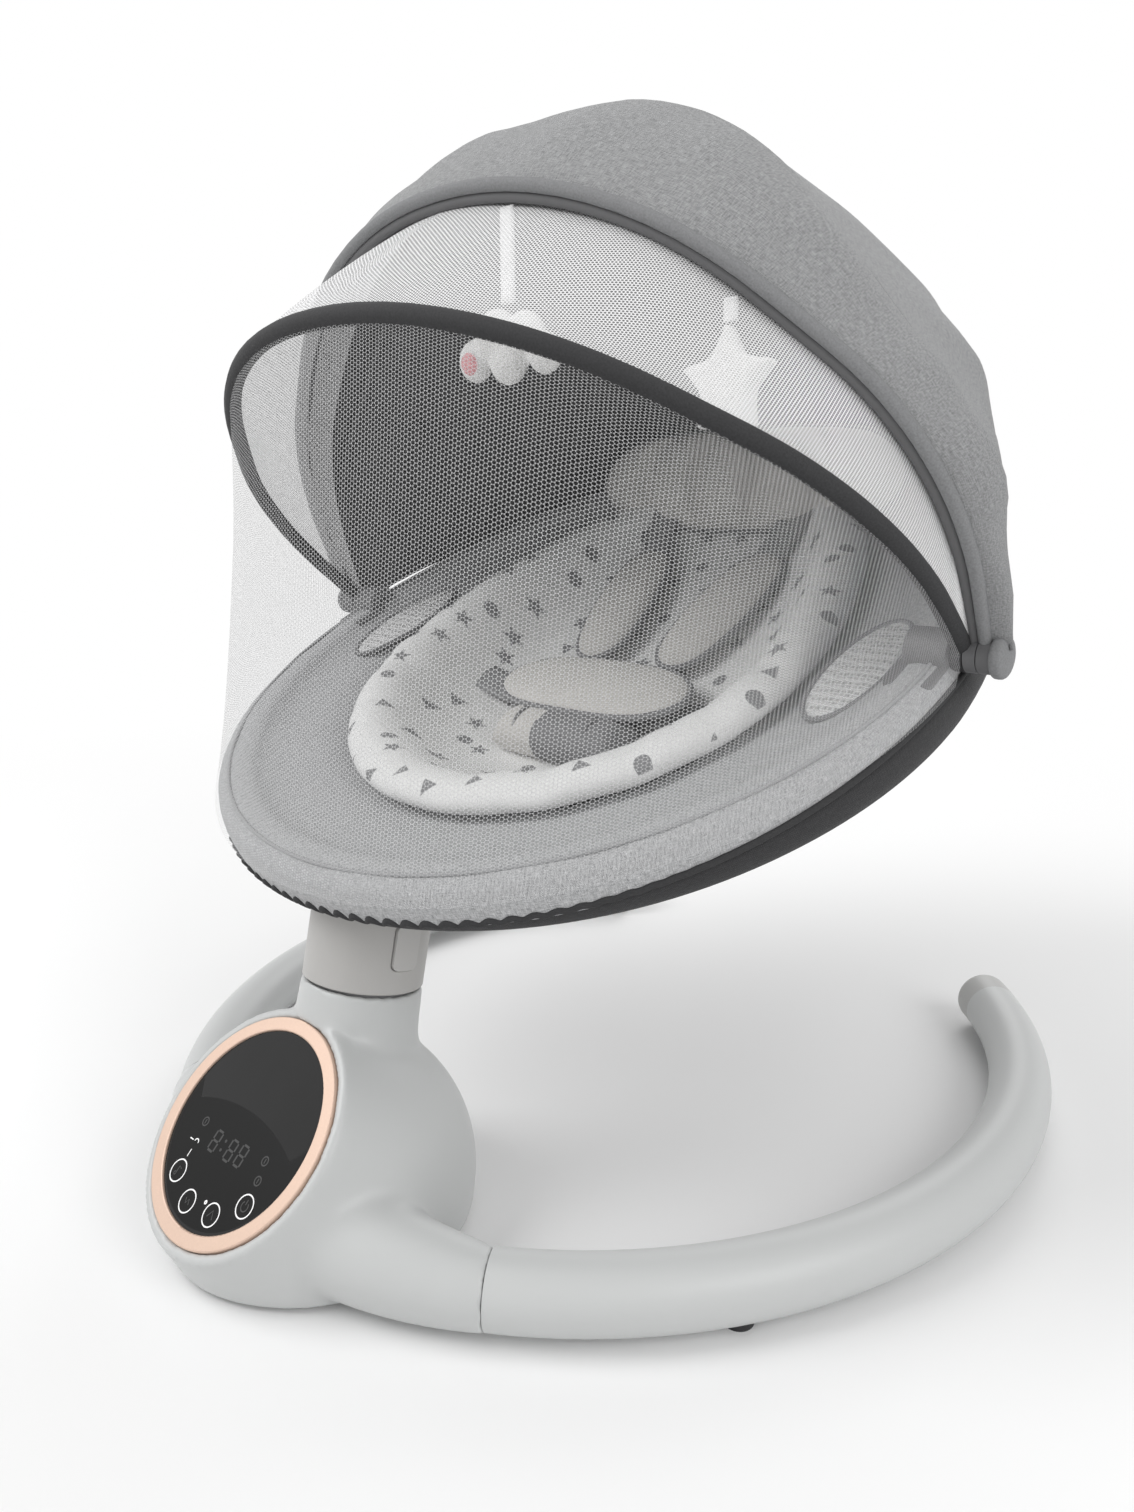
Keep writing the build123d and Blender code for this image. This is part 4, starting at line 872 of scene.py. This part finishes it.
def stuffed(name, place, size, corner, waist=0.0, tucks=0, blunt=1, trim=True):
    """A stuffed pad: two crowned faces drawn to a piped seam, with stitched channels across it."""
    wide, long, thick = size
    seams = [2 * i / tucks - 1 for i in range(1, tucks)]

    def outline(a, b):
        x = a * sqrt(1 - corner * b * b)
        y = b * sqrt(1 - corner * a * a) * (1 - waist * (1 - a * a) ** 2)
        return x * wide / 2, y * long / 2

    pad = bmesh.new()
    for face in (1, -1):
        sheet = bmesh.ops.create_grid(pad, x_segments=96, y_segments=32, size=1.0)["verts"]
        for vert in sheet:
            a, b = sin(vert.co.x * pi / 2), sin(vert.co.y * pi / 2)
            x, y = outline(a, b)
            crown = max(0.0, (1 - a ** (2 * blunt)) * (1 - b * b)) ** CROWN_BEND
            pulled = sum(exp(-(((a - seam) * wide / 2 / CHANNEL_HALF) ** 2)) for seam in seams)
            rise = crown * (1 - CHANNEL_DEPTH * min(1.0, pulled)) * thick / 2
            vert.co = place @ Vector((x, y, face * rise))
            vert.co += 0.0008 * crown * noise.noise(vert.co * 60) * Vector((1, 1, 1))
    bmesh.ops.remove_doubles(pad, verts=pad.verts, dist=0.00004)
    bmesh.ops.recalc_face_normals(pad, faces=pad.faces)
    made = piece(pad, name, soft_grey, "swing")
    if trim:
        steps = [sin(i / 24 * pi / 2) for i in range(-24, 24)]
        edge = [(a, -1) for a in steps] + [(1, b) for b in steps]
        edge += [(-a, 1) for a in steps] + [(-1, -b) for b in steps]
        spots = [outline(a, b) for a, b in edge]
        line = [place @ Vector((x * PIPING_OUT, y * PIPING_OUT, 0)) for x, y in spots]
        tube(name + "_piping", line, PIPING_RADIUS, trim_grey, "swing", closed=True)
    return made


PILLOW_LEAN = 80.0
pillow_place = lay(seat_point(0, 0.445, 0.028), PILLOW_LEAN)
pillow = stuffed("soft_head_pillow", pillow_place, (0.256, 0.078, 0.054), 0.40, waist=0.08, tucks=5)
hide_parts("head_pillow")

BACK_LEAN = 37.0
for side, hand in HANDS:
    place = lay(seat_point(side * 0.042, 0.335, -0.0165), BACK_LEAN, -side * 9.0)
    pad = stuffed(hand + "_soft_shoulder", place, (0.048, 0.118, 0.019), 0.42)
    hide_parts(hand + "_shoulder_pad")

WAIST = 0.240
belly_place = lay(seat_point(0, WAIST, -0.0245), SEAT_RISE)
belly = stuffed("soft_belly_pad", belly_place, (0.152, 0.064, 0.021), 0.46, waist=0.10)
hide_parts("belly_pad")

crotch_place = lay(seat_point(0, 0.203, -0.0385), SEAT_RISE)
crotch = stuffed("soft_crotch_roll", crotch_place, (0.100, 0.036, 0.030), 0.06, blunt=5, trim=False)
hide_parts("crotch_pad")
crotch.data.materials.append(trim_grey)
BAND_END = -0.012
for face in crotch.data.polygons:
    face.material_index = 1 if face.center.x > BAND_END else 0
ROLL_RADIUS, STITCH = 0.0158, 0.0011
STITCHED_AT = (-0.030, 0.030)


def hoop(bm, centre, axis, radius, thick):
    """A plain ring of round section about an axis."""
    turn = Matrix.Translation(centre) @ axis.to_track_quat("Z", "Y").to_matrix().to_4x4()
    place = turn @ Matrix.Translation((radius, 0, 0)) @ Matrix.Rotation(pi / 2, 4, "X")
    ring = bmesh.ops.create_circle(bm, radius=thick, segments=10, matrix=place)["verts"]
    edges = list(dict.fromkeys(edge for vert in ring for edge in vert.link_edges))
    bmesh.ops.spin(bm, geom=ring + edges, cent=centre, axis=axis, angle=2 * pi, steps=48, use_merge=True)


stitching = bmesh.new()
for x in STITCHED_AT:
    hoop(stitching, crotch_place @ Vector((x, 0, 0)), Vector((1, 0, 0)), ROLL_RADIUS, STITCH)
bmesh.ops.recalc_face_normals(stitching, faces=stitching.faces)
piece(stitching, "crotch_stitching", trim_grey, "swing")

webbing = melange("webbing", (0.22, 0.22, 0.225, 1), (0.36, 0.36, 0.365, 1), 0.0014)
WEBBING_THICK, WAIST_WIDE, SHOULDER_WIDE = 0.0016, 0.026, 0.024


def strip(name, points, across, wide, made, body, steps=24):
    """A flat strap of even width along points."""
    bm = bmesh.new()
    bmesh.ops.create_grid(bm, x_segments=4, y_segments=steps, size=0.5)
    length = sum((b - a).length for a, b in zip(points, points[1:]))
    woven(bm, lambda vert: (vert.co.x * wide, vert.co.y * length))
    for vert in bm.verts:
        run = (vert.co.y + 0.5) * (len(points) - 1)
        first = min(int(run), len(points) - 2)
        spot = points[first].lerp(points[first + 1], run - first)
        vert.co = spot + across * (vert.co.x * wide)
    bmesh.ops.recalc_face_normals(bm, faces=bm.faces)
    strap = piece(bm, name, made, body)
    thicken(strap, WEBBING_THICK, 0.0)
    return strap


WAIST_RUN = ((0.021, -0.040), (0.050, -0.0395), (0.080, -0.036), (0.100, -0.030), (0.121, -0.019))
SHOULDER_RUN = (
    (0.050, 0.388, -0.004),
    (0.054, 0.404, 0.004),
    (0.057, 0.424, 0.014),
    (0.060, 0.440, 0.026),
)
for side, hand in HANDS:
    run = [seat_point(side * x, WAIST, level) for x, level in WAIST_RUN]
    strap = strip(hand + "_waist_webbing", run, SEAT_ALONG, WAIST_WIDE, webbing, "swing")
    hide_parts(hand + "_waist_strap")
    climb = [seat_point(side * x, along, level) for x, along, level in SHOULDER_RUN]
    across = Vector((1, 0, 0))
    strip(hand + "_shoulder_webbing", climb, across, SHOULDER_WIDE, webbing, "swing")
buckle_plastic = moulded("buckle_plastic", (0.40, 0.39, 0.38, 1), 0.45)
dress(buckle_plastic, "harness_buckle", "buckle_button")

# Canopy: grey melange cloth with a dark lining, stretched over two sprung bows and drawn
# down over the head of the ring. A knitted binding holds its front edge, and a cap each foot.
PIVOT = Vector((0, 0.0128, 0.312))
NET_ARCH = (0.243, 0.10765, 0.10065, 0.250, 0.165, 0.236)
FRONT_ARCH = (0.2495, 0.10385, 0.10335, 0.250, 0.165, 0.242)
REAR_ARCH = (0.256, 0.089, 0.109, 0.276, 0.110, 0.170)
MIDDLE_ARCH = (0.230, 0.095, 0.135, 0.282, 0.110, 0.170)
NET_LEAN, FRONT_LEAN, REAR_LEAN, MIDDLE_LEAN = 51.6, 28.2, 7.3, -38.0
bow_rod = moulded("bow_rod", (0.035, 0.035, 0.037, 1), 0.5)
bow_sleeve = moulded("bow_sleeve", (0.12, 0.12, 0.123, 1), 0.7)
dress(bow_rod, "net_bow")
dress(bow_sleeve, "hood_front_bow", "hood_rear_bow")


def evenly(line, count):
    """Points at equal steps along a line of points."""
    lengths = [0.0]
    for a, b in zip(line, line[1:]):
        lengths.append(lengths[-1] + (b - a).length)
    made, at = [], 0
    for i in range(count + 1):
        target = lengths[-1] * i / count
        while at < len(lengths) - 2 and lengths[at + 1] < target:
            at += 1
        share = (target - lengths[at]) / max(lengths[at + 1] - lengths[at], 1e-9)
        made.append(line[at].lerp(line[at + 1], share))
    return made


def arch_line(shape, lean, grow, start, count, origin=PIVOT):
    """Evenly spaced points along a bow's arch, moved outwards by grow, from the right foot to the left."""
    half, shoulder, crown, top, low_radius, high_radius = shape
    slope = atan2(half - crown, top - shoulder)
    turn = pi / 2 - slope
    low = Vector((half + grow, shoulder + grow * tan(slope / 2)))
    high = Vector((crown + grow * tan(turn / 2), top + grow))
    legs = [Vector((half + grow, start)), low, high, Vector((0, top + grow))]
    line = [legs[0]]
    radii = (low_radius + grow, high_radius + grow)
    for before, corner, after, radius in zip(legs, legs[1:], legs[2:], radii):
        back, on = (before - corner).normalized(), (after - corner).normalized()
        opening = acos(max(-1.0, min(1.0, back.dot(on))))
        reach = radius / tan(opening / 2)
        centre = corner + (back + on).normalized() * (radius / sin(opening / 2))
        first = corner + back * reach - centre
        sweep = pi - opening
        for i in range(13):
            share = sweep * i / 12
            line.append(centre + first * cos(share) + Vector((-first.y, first.x)) * sin(share))
    line.append(legs[3])
    line += [Vector((-spot.x, spot.y)) for spot in reversed(line[:-1])]
    made = []
    for flat in evenly(line, count):
        made.append(origin + Vector((flat.x, -flat.y * sin(radians(lean)), flat.y * cos(radians(lean)))))
    return made


def tail_turn(share):
    """How far up the padded edge the hem lies, in degrees: high at the hubs, low round the head."""
    near = max(0.0, abs(2 * share - 1) - TAIL_FLAT) / (1 - TAIL_FLAT)
    return TAIL_LOW + (TAIL_HIGH - TAIL_LOW) * near**2


def through(knots, share):
    """A smooth value at share of the way through evenly spaced knots."""
    run = share * (len(knots) - 1)
    i = min(int(run), len(knots) - 2)
    t = run - i
    before = knots[max(i - 1, 0)]
    after = knots[min(i + 2, len(knots) - 1)]
    a, b = knots[i], knots[i + 1]
    curve = 2 * before - 5 * a + 4 * b - after + t * (3 * (a - b) + after - before)
    return a + 0.5 * t * (b - before + t * curve)


def spread(name, lines, made, rows, size, bend, also=()):
    """A sheet stretched through lines of points that all have the same count."""
    across = len(lines[0]) - 1
    bm = bmesh.new()
    bmesh.ops.create_grid(bm, x_segments=across, y_segments=rows, size=0.5)
    woven(bm, lambda vert: ((vert.co.x + 0.5) * size[0], (vert.co.y + 0.5) * size[1]))
    for vert in bm.verts:
        u, v = vert.co.x + 0.5, vert.co.y + 0.5
        column = [line[round(u * across)] for line in lines]
        spot = through(column, v)
        vert.co = spot + bend(u, v, spot)
    return piece(bm, name, made, None, also)


hood_fabric = melange("hood_fabric", (0.185, 0.187, 0.190, 1), (0.385, 0.388, 0.393, 1))
hood_binding = yarn("hood_binding", (0.15, 0.152, 0.155, 1), (0.27, 0.273, 0.278, 1))
hood_lining = melange("hood_lining", (0.075, 0.075, 0.077, 1), (0.14, 0.14, 0.143, 1))
ACROSS = 96
CLOTH_OUT, CLOTH_THICK = 0.0058, 0.0016
BINDING_RADIUS = 0.0034
FOOT = 0.005
MIDDLE_DROP = 0.0028 * SEAT_UP
front_edge = arch_line(FRONT_ARCH, FRONT_LEAN, CLOTH_OUT, FOOT, ACROSS)
rear_seam = arch_line(REAR_ARCH, REAR_LEAN, CLOTH_OUT, FOOT, ACROSS)
middle = arch_line(MIDDLE_ARCH, MIDDLE_LEAN, CLOTH_OUT, FOOT, ACROSS, PIVOT - MIDDLE_DROP)
TAIL_WRAP = EDGE_RADIUS + 0.0036
TAIL_HIGH, TAIL_LOW, TAIL_FLAT = 78.0, 2.0, 0.35
TAIL_START = radians(2.7)
tail_hem = evenly(rim_line(TAIL_START, pi - TAIL_START, 240, TAIL_WRAP, tail_turn), ACROSS)
CANOPY_CORE = PIVOT + Vector((0, 0.02, 0.03))


def outward(spot):
    """The direction away from the middle of the canopy."""
    return (spot - CANOPY_CORE).normalized()


def front_sag(u, v, spot):
    """Cloth between two bows: a soft crown, and folds that run from bow to bow."""
    crown = 0.0085 * sin(pi * v)
    fold = 0.0052 * sin(pi * v) ** 0.7 * noise.noise(Vector((u * 21, v * 1.3, 0.3)))
    crease = 0.0016 * sin(pi * v) * noise.noise(Vector((u * 52, v * 3, 2.3)))
    return outward(spot) * (crown + fold + crease)


def rear_sag(u, v, spot):
    """Cloth drawn down to the ring: held smooth at the bow and gathered at the tail."""
    side = abs(2 * u - 1)
    gather = 0.0020 * (1 - v) ** 2 * sin(62 * u)
    fold = 0.0058 * sin(pi * v) ** 0.7 * (0.4 + 0.6 * side) * noise.noise(Vector((u * 19, v * 2.2, 1.7)))
    crease = 0.0018 * sin(pi * v) * noise.noise(Vector((u * 45, v * 6, 5.1)))
    return outward(spot) * (gather + fold + crease)


front_lines, rear_lines = [rear_seam, front_edge], [tail_hem, middle, rear_seam]
hood_front = spread(
    "hood_front_cloth", front_lines, hood_fabric, 24, (0.71, 0.105), front_sag, (hood_lining,)
)
hood_rear = spread(
    "hood_rear_cloth", rear_lines, hood_fabric, 40, (0.71, 0.36), rear_sag, (hood_lining,)
)
for cloth in (hood_front, hood_rear):
    thicken(cloth, CLOTH_THICK).material_offset = 1
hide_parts("hood_front_panel")
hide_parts("hood_rear_panel")
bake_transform(hood_front)
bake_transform(hood_rear)
tube("hood_edge_binding", front_edge, BINDING_RADIUS, hood_binding, "hood_front")
CORNER_OUT, CORNER_RADIUS, CORNER_HALF = 0.2620, 0.0108, 0.0044
CORNER_SQUARE = 0.6
for side, hand in HANDS:
    corner_cap = bmesh.new()
    place = Matrix.Translation(PIVOT + Vector((side * CORNER_OUT, 0, 0))) @ Matrix.Rotation(pi / 2, 4, "Y")
    bmesh.ops.create_uvsphere(corner_cap, u_segments=36, v_segments=18, radius=1.0)
    for vert in corner_cap.verts:
        x, y, z = vert.co
        out = squared(z, CORNER_SQUARE) * CORNER_HALF
        vert.co = place @ Vector((x * CORNER_RADIUS, y * CORNER_RADIUS, out))
    bmesh.ops.recalc_face_normals(corner_cap, faces=corner_cap.faces)
    piece(corner_cap, hand + "_hood_corner", hood_binding, "hood_rear")

# Nets: a white sheer net closes the roof between the front bow and the net bow, and a grey
# fine net drops from the net bow over the front of the seat. Dark piping binds the net bow.
HEX_RISE = 0.866


def netting(name, colour, pitch, cover, thread):
    """Knitted net: hexagonal holes between fine yarns, seen through by alpha."""
    shade, surface, made = finish(name)
    uv = shade.node("UVMap", {"uv_map": "weave"})
    split = shade.node("SeparateXYZ", (), {0: uv})
    x, y = split, split.other(1)
    turn = 2 * pi / pitch
    wave = shade.math("COSINE", x * turn)
    wave = wave + shade.math("COSINE", x * (turn * 0.5) + y * (turn * HEX_RISE))
    wave = wave + shade.math("COSINE", x * (turn * 0.5) - y * (turn * HEX_RISE))
    yarns = shade.node("MapRange", (), {0: wave, 1: thread + 0.5, 2: thread - 0.5, 3: 0.0, 4: 1.0})
    (yarns * (1 - cover) + cover).into(surface, "Alpha")
    speck = speckle(uv, 900.0)
    speck.mix(dimmed(colour, 0.9), colour).into(surface, "Base Color")
    steady(surface, Roughness=0.7)
    return made


roof_white = netting("roof_net", (0.86, 0.86, 0.865, 1), 0.0013, 0.22, -0.25)
front_grey = netting("front_net", (0.56, 0.56, 0.565, 1), 0.0019, 0.02, -1.08)
NET_OUT, NET_FOOT = 0.0040, 0.004
net_line = arch_line(NET_ARCH, NET_LEAN, NET_OUT, NET_FOOT, ACROSS)
ROOF_ARCH = (0.2415, 0.10385, 0.100, 0.252, 0.165, 0.242)
ROOF_LEAN = FRONT_LEAN - 9.0
ROOF_FOOT = 0.010
front_inner = arch_line(ROOF_ARCH, ROOF_LEAN, 0.0, ROOF_FOOT, ACROSS)


def roof_sag(u, v, spot):
    """A light net between two bows, with a few soft pulls."""
    return outward(spot) * sin(pi * v) * (0.0038 + 0.0012 * noise.noise(Vector((u * 14, v * 2, 4.1))))


roof_lines = [front_inner, net_line]
roof = spread("roof_net_sheet", roof_lines, roof_white, 18, (0.70, 0.115), roof_sag)
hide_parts("net_top_panel")
roof.visible_shadow = False
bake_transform(roof)

RIM_WRAP, RIM_TURN = 0.0182, 19.2
rim_top = rim_line(0.0, -pi, ACROSS, RIM_WRAP, lambda share: RIM_TURN)
half_way = [a.lerp(b, 0.5) for a, b in zip(net_line, rim_top)]


def front_billow(u, v, spot):
    """The front net hangs a little slack, with long soft folds near its feet."""
    side = abs(2 * u - 1)
    droop = -0.006 * sin(pi * v) * (1 - side**4)
    folds = 0.0022 * sin(pi * v) * noise.noise(Vector((u * 30, v * 2.2, 7.7)))
    return outward(spot) * (droop + folds)


net_lines = [net_line, half_way, rim_top]
front = spread("front_net_sheet", net_lines, front_grey, 48, (0.72, 0.30), front_billow)
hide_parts("net_front_panel")
front.visible_shadow = False
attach(front, "net")
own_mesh(front)
NET_PIPING, NET_PIPING_OUT = 0.0050, 0.0016
piping_line = arch_line(NET_ARCH, NET_LEAN, NET_PIPING_OUT, 0.0, ACROSS)
tube("net_bow_piping", piping_line, NET_PIPING, trim_dark, "net")

# Toys: a cloud and a star sewn from white plush and stuffed, the cloud with a pink spot. They
# hang on satin ribbons that are sewn to the front bow's sleeve.
def box_of(node):
    """The middle and the half size of a CAD node's box."""
    low, high = (Vector(corner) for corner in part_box(node))
    return (low + high) / 2, (high - low) / 2


cloud_middle, cloud_half = box_of("cloud_toy")
SPOT = cloud_middle + Vector((-0.52 * cloud_half.x, -0.75 * cloud_half.y, -0.45 * cloud_half.z))
SPOT_RADIUS = 0.0066
shade, surface, plush = finish("plush")
where = shade.node("TexCoord", output="Object")
fur = speckle(where, 1300.0, 3.0)
nap = speckle(where, 150.0, 3.0)
spot_at = shade.node("VectorMath", {"operation": "DISTANCE"}, {0: where, 1: tuple(SPOT)}, "Value")
blush = spot_at < SPOT_RADIUS
tuft = fur * 0.5 + nap * 0.5
white_fur = tuft.mix((0.66, 0.655, 0.645, 1), (0.84, 0.835, 0.825, 1))
pink_fur = tuft.mix((0.62, 0.28, 0.30, 1), (0.78, 0.40, 0.42, 1))
blush.mix(white_fur, pink_fur).into(surface, "Base Color")
relief(surface, fur * 0.5 + nap, 0.9, 0.0016)
steady(surface, Roughness=0.95, Sheen_Weight=0.5)
shade, surface, ribbon_satin = finish("ribbon_satin")
uv = shade.node("UVMap", {"uv_map": "weave"})
satin = speckle(uv, 1500.0)
satin.mix(grey(0.68), grey(0.80)).into(surface, "Base Color")
steady(surface, Roughness=0.45)

TOY_VOXEL = 0.0016
PUFFS = (
    (-0.62, -0.30, 0.62),
    (-0.20, 0.22, 0.78),
    (0.30, 0.12, 0.72),
    (0.66, -0.34, 0.58),
    (0.0, -0.42, 0.66),
)
puffs = bmesh.new()
puff_form = Matrix.Diagonal((0.9, cloud_half.y / cloud_half.z, 0.95, 1.0))
for x, z, radius in PUFFS:
    spot = cloud_middle + Vector((x * cloud_half.x * 0.9, 0, z * cloud_half.z))
    place = Matrix.Translation(spot) @ puff_form
    bmesh.ops.create_icosphere(puffs, subdivisions=3, radius=radius * cloud_half.z, matrix=place)
cloud_mesh = remeshed(puffs, TOY_VOXEL)
relax(cloud_mesh, cloud_mesh.verts, 6)
cloud = piece(cloud_mesh, "plush_cloud", plush, "cloud")
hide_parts("cloud_toy")

star_middle, star_half = box_of("star_toy")
TIP_REACH, WAIST_REACH = 1.08, 0.56
star_draft = bmesh.new()
bmesh.ops.create_circle(star_draft, cap_ends=True, radius=1.0, segments=10)
for vert in star_draft.verts:
    angle = atan2(vert.co.y, vert.co.x)
    tip = round((angle - pi / 2) / (pi / 5)) % 2 == 0
    reach = star_half.z * (TIP_REACH if tip else WAIST_REACH)
    vert.co = Vector((reach * cos(angle), 0, reach * sin(angle)))
body = bmesh.ops.extrude_face_region(star_draft, geom=star_draft.faces[:])
lifted = [part for part in body["geom"] if isinstance(part, bmesh.types.BMVert)]
bmesh.ops.translate(star_draft, verts=lifted, vec=(0, star_half.y * 1.3, 0))
bmesh.ops.translate(star_draft, verts=star_draft.verts, vec=star_middle - Vector((0, star_half.y * 0.65, 0)))
bmesh.ops.recalc_face_normals(star_draft, faces=star_draft.faces)
star_mesh = remeshed(star_draft, TOY_VOXEL)
relax(star_mesh, star_mesh.verts, 14)
star_toy = piece(star_mesh, "plush_star", plush, "star")
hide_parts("star_toy")

for name, wide in (("cloud", 0.009), ("star", 0.007)):
    hang, hang_half = box_of(name + "_ribbon")
    drop = [hang + Vector((0, 0, hang_half.z * (1 - i / 3))) for i in range(7)]
    ribbon = strip(name + "_satin_ribbon", drop, Vector((1, 0, 0)), wide, ribbon_satin, name, 12)
    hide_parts(name + "_ribbon")
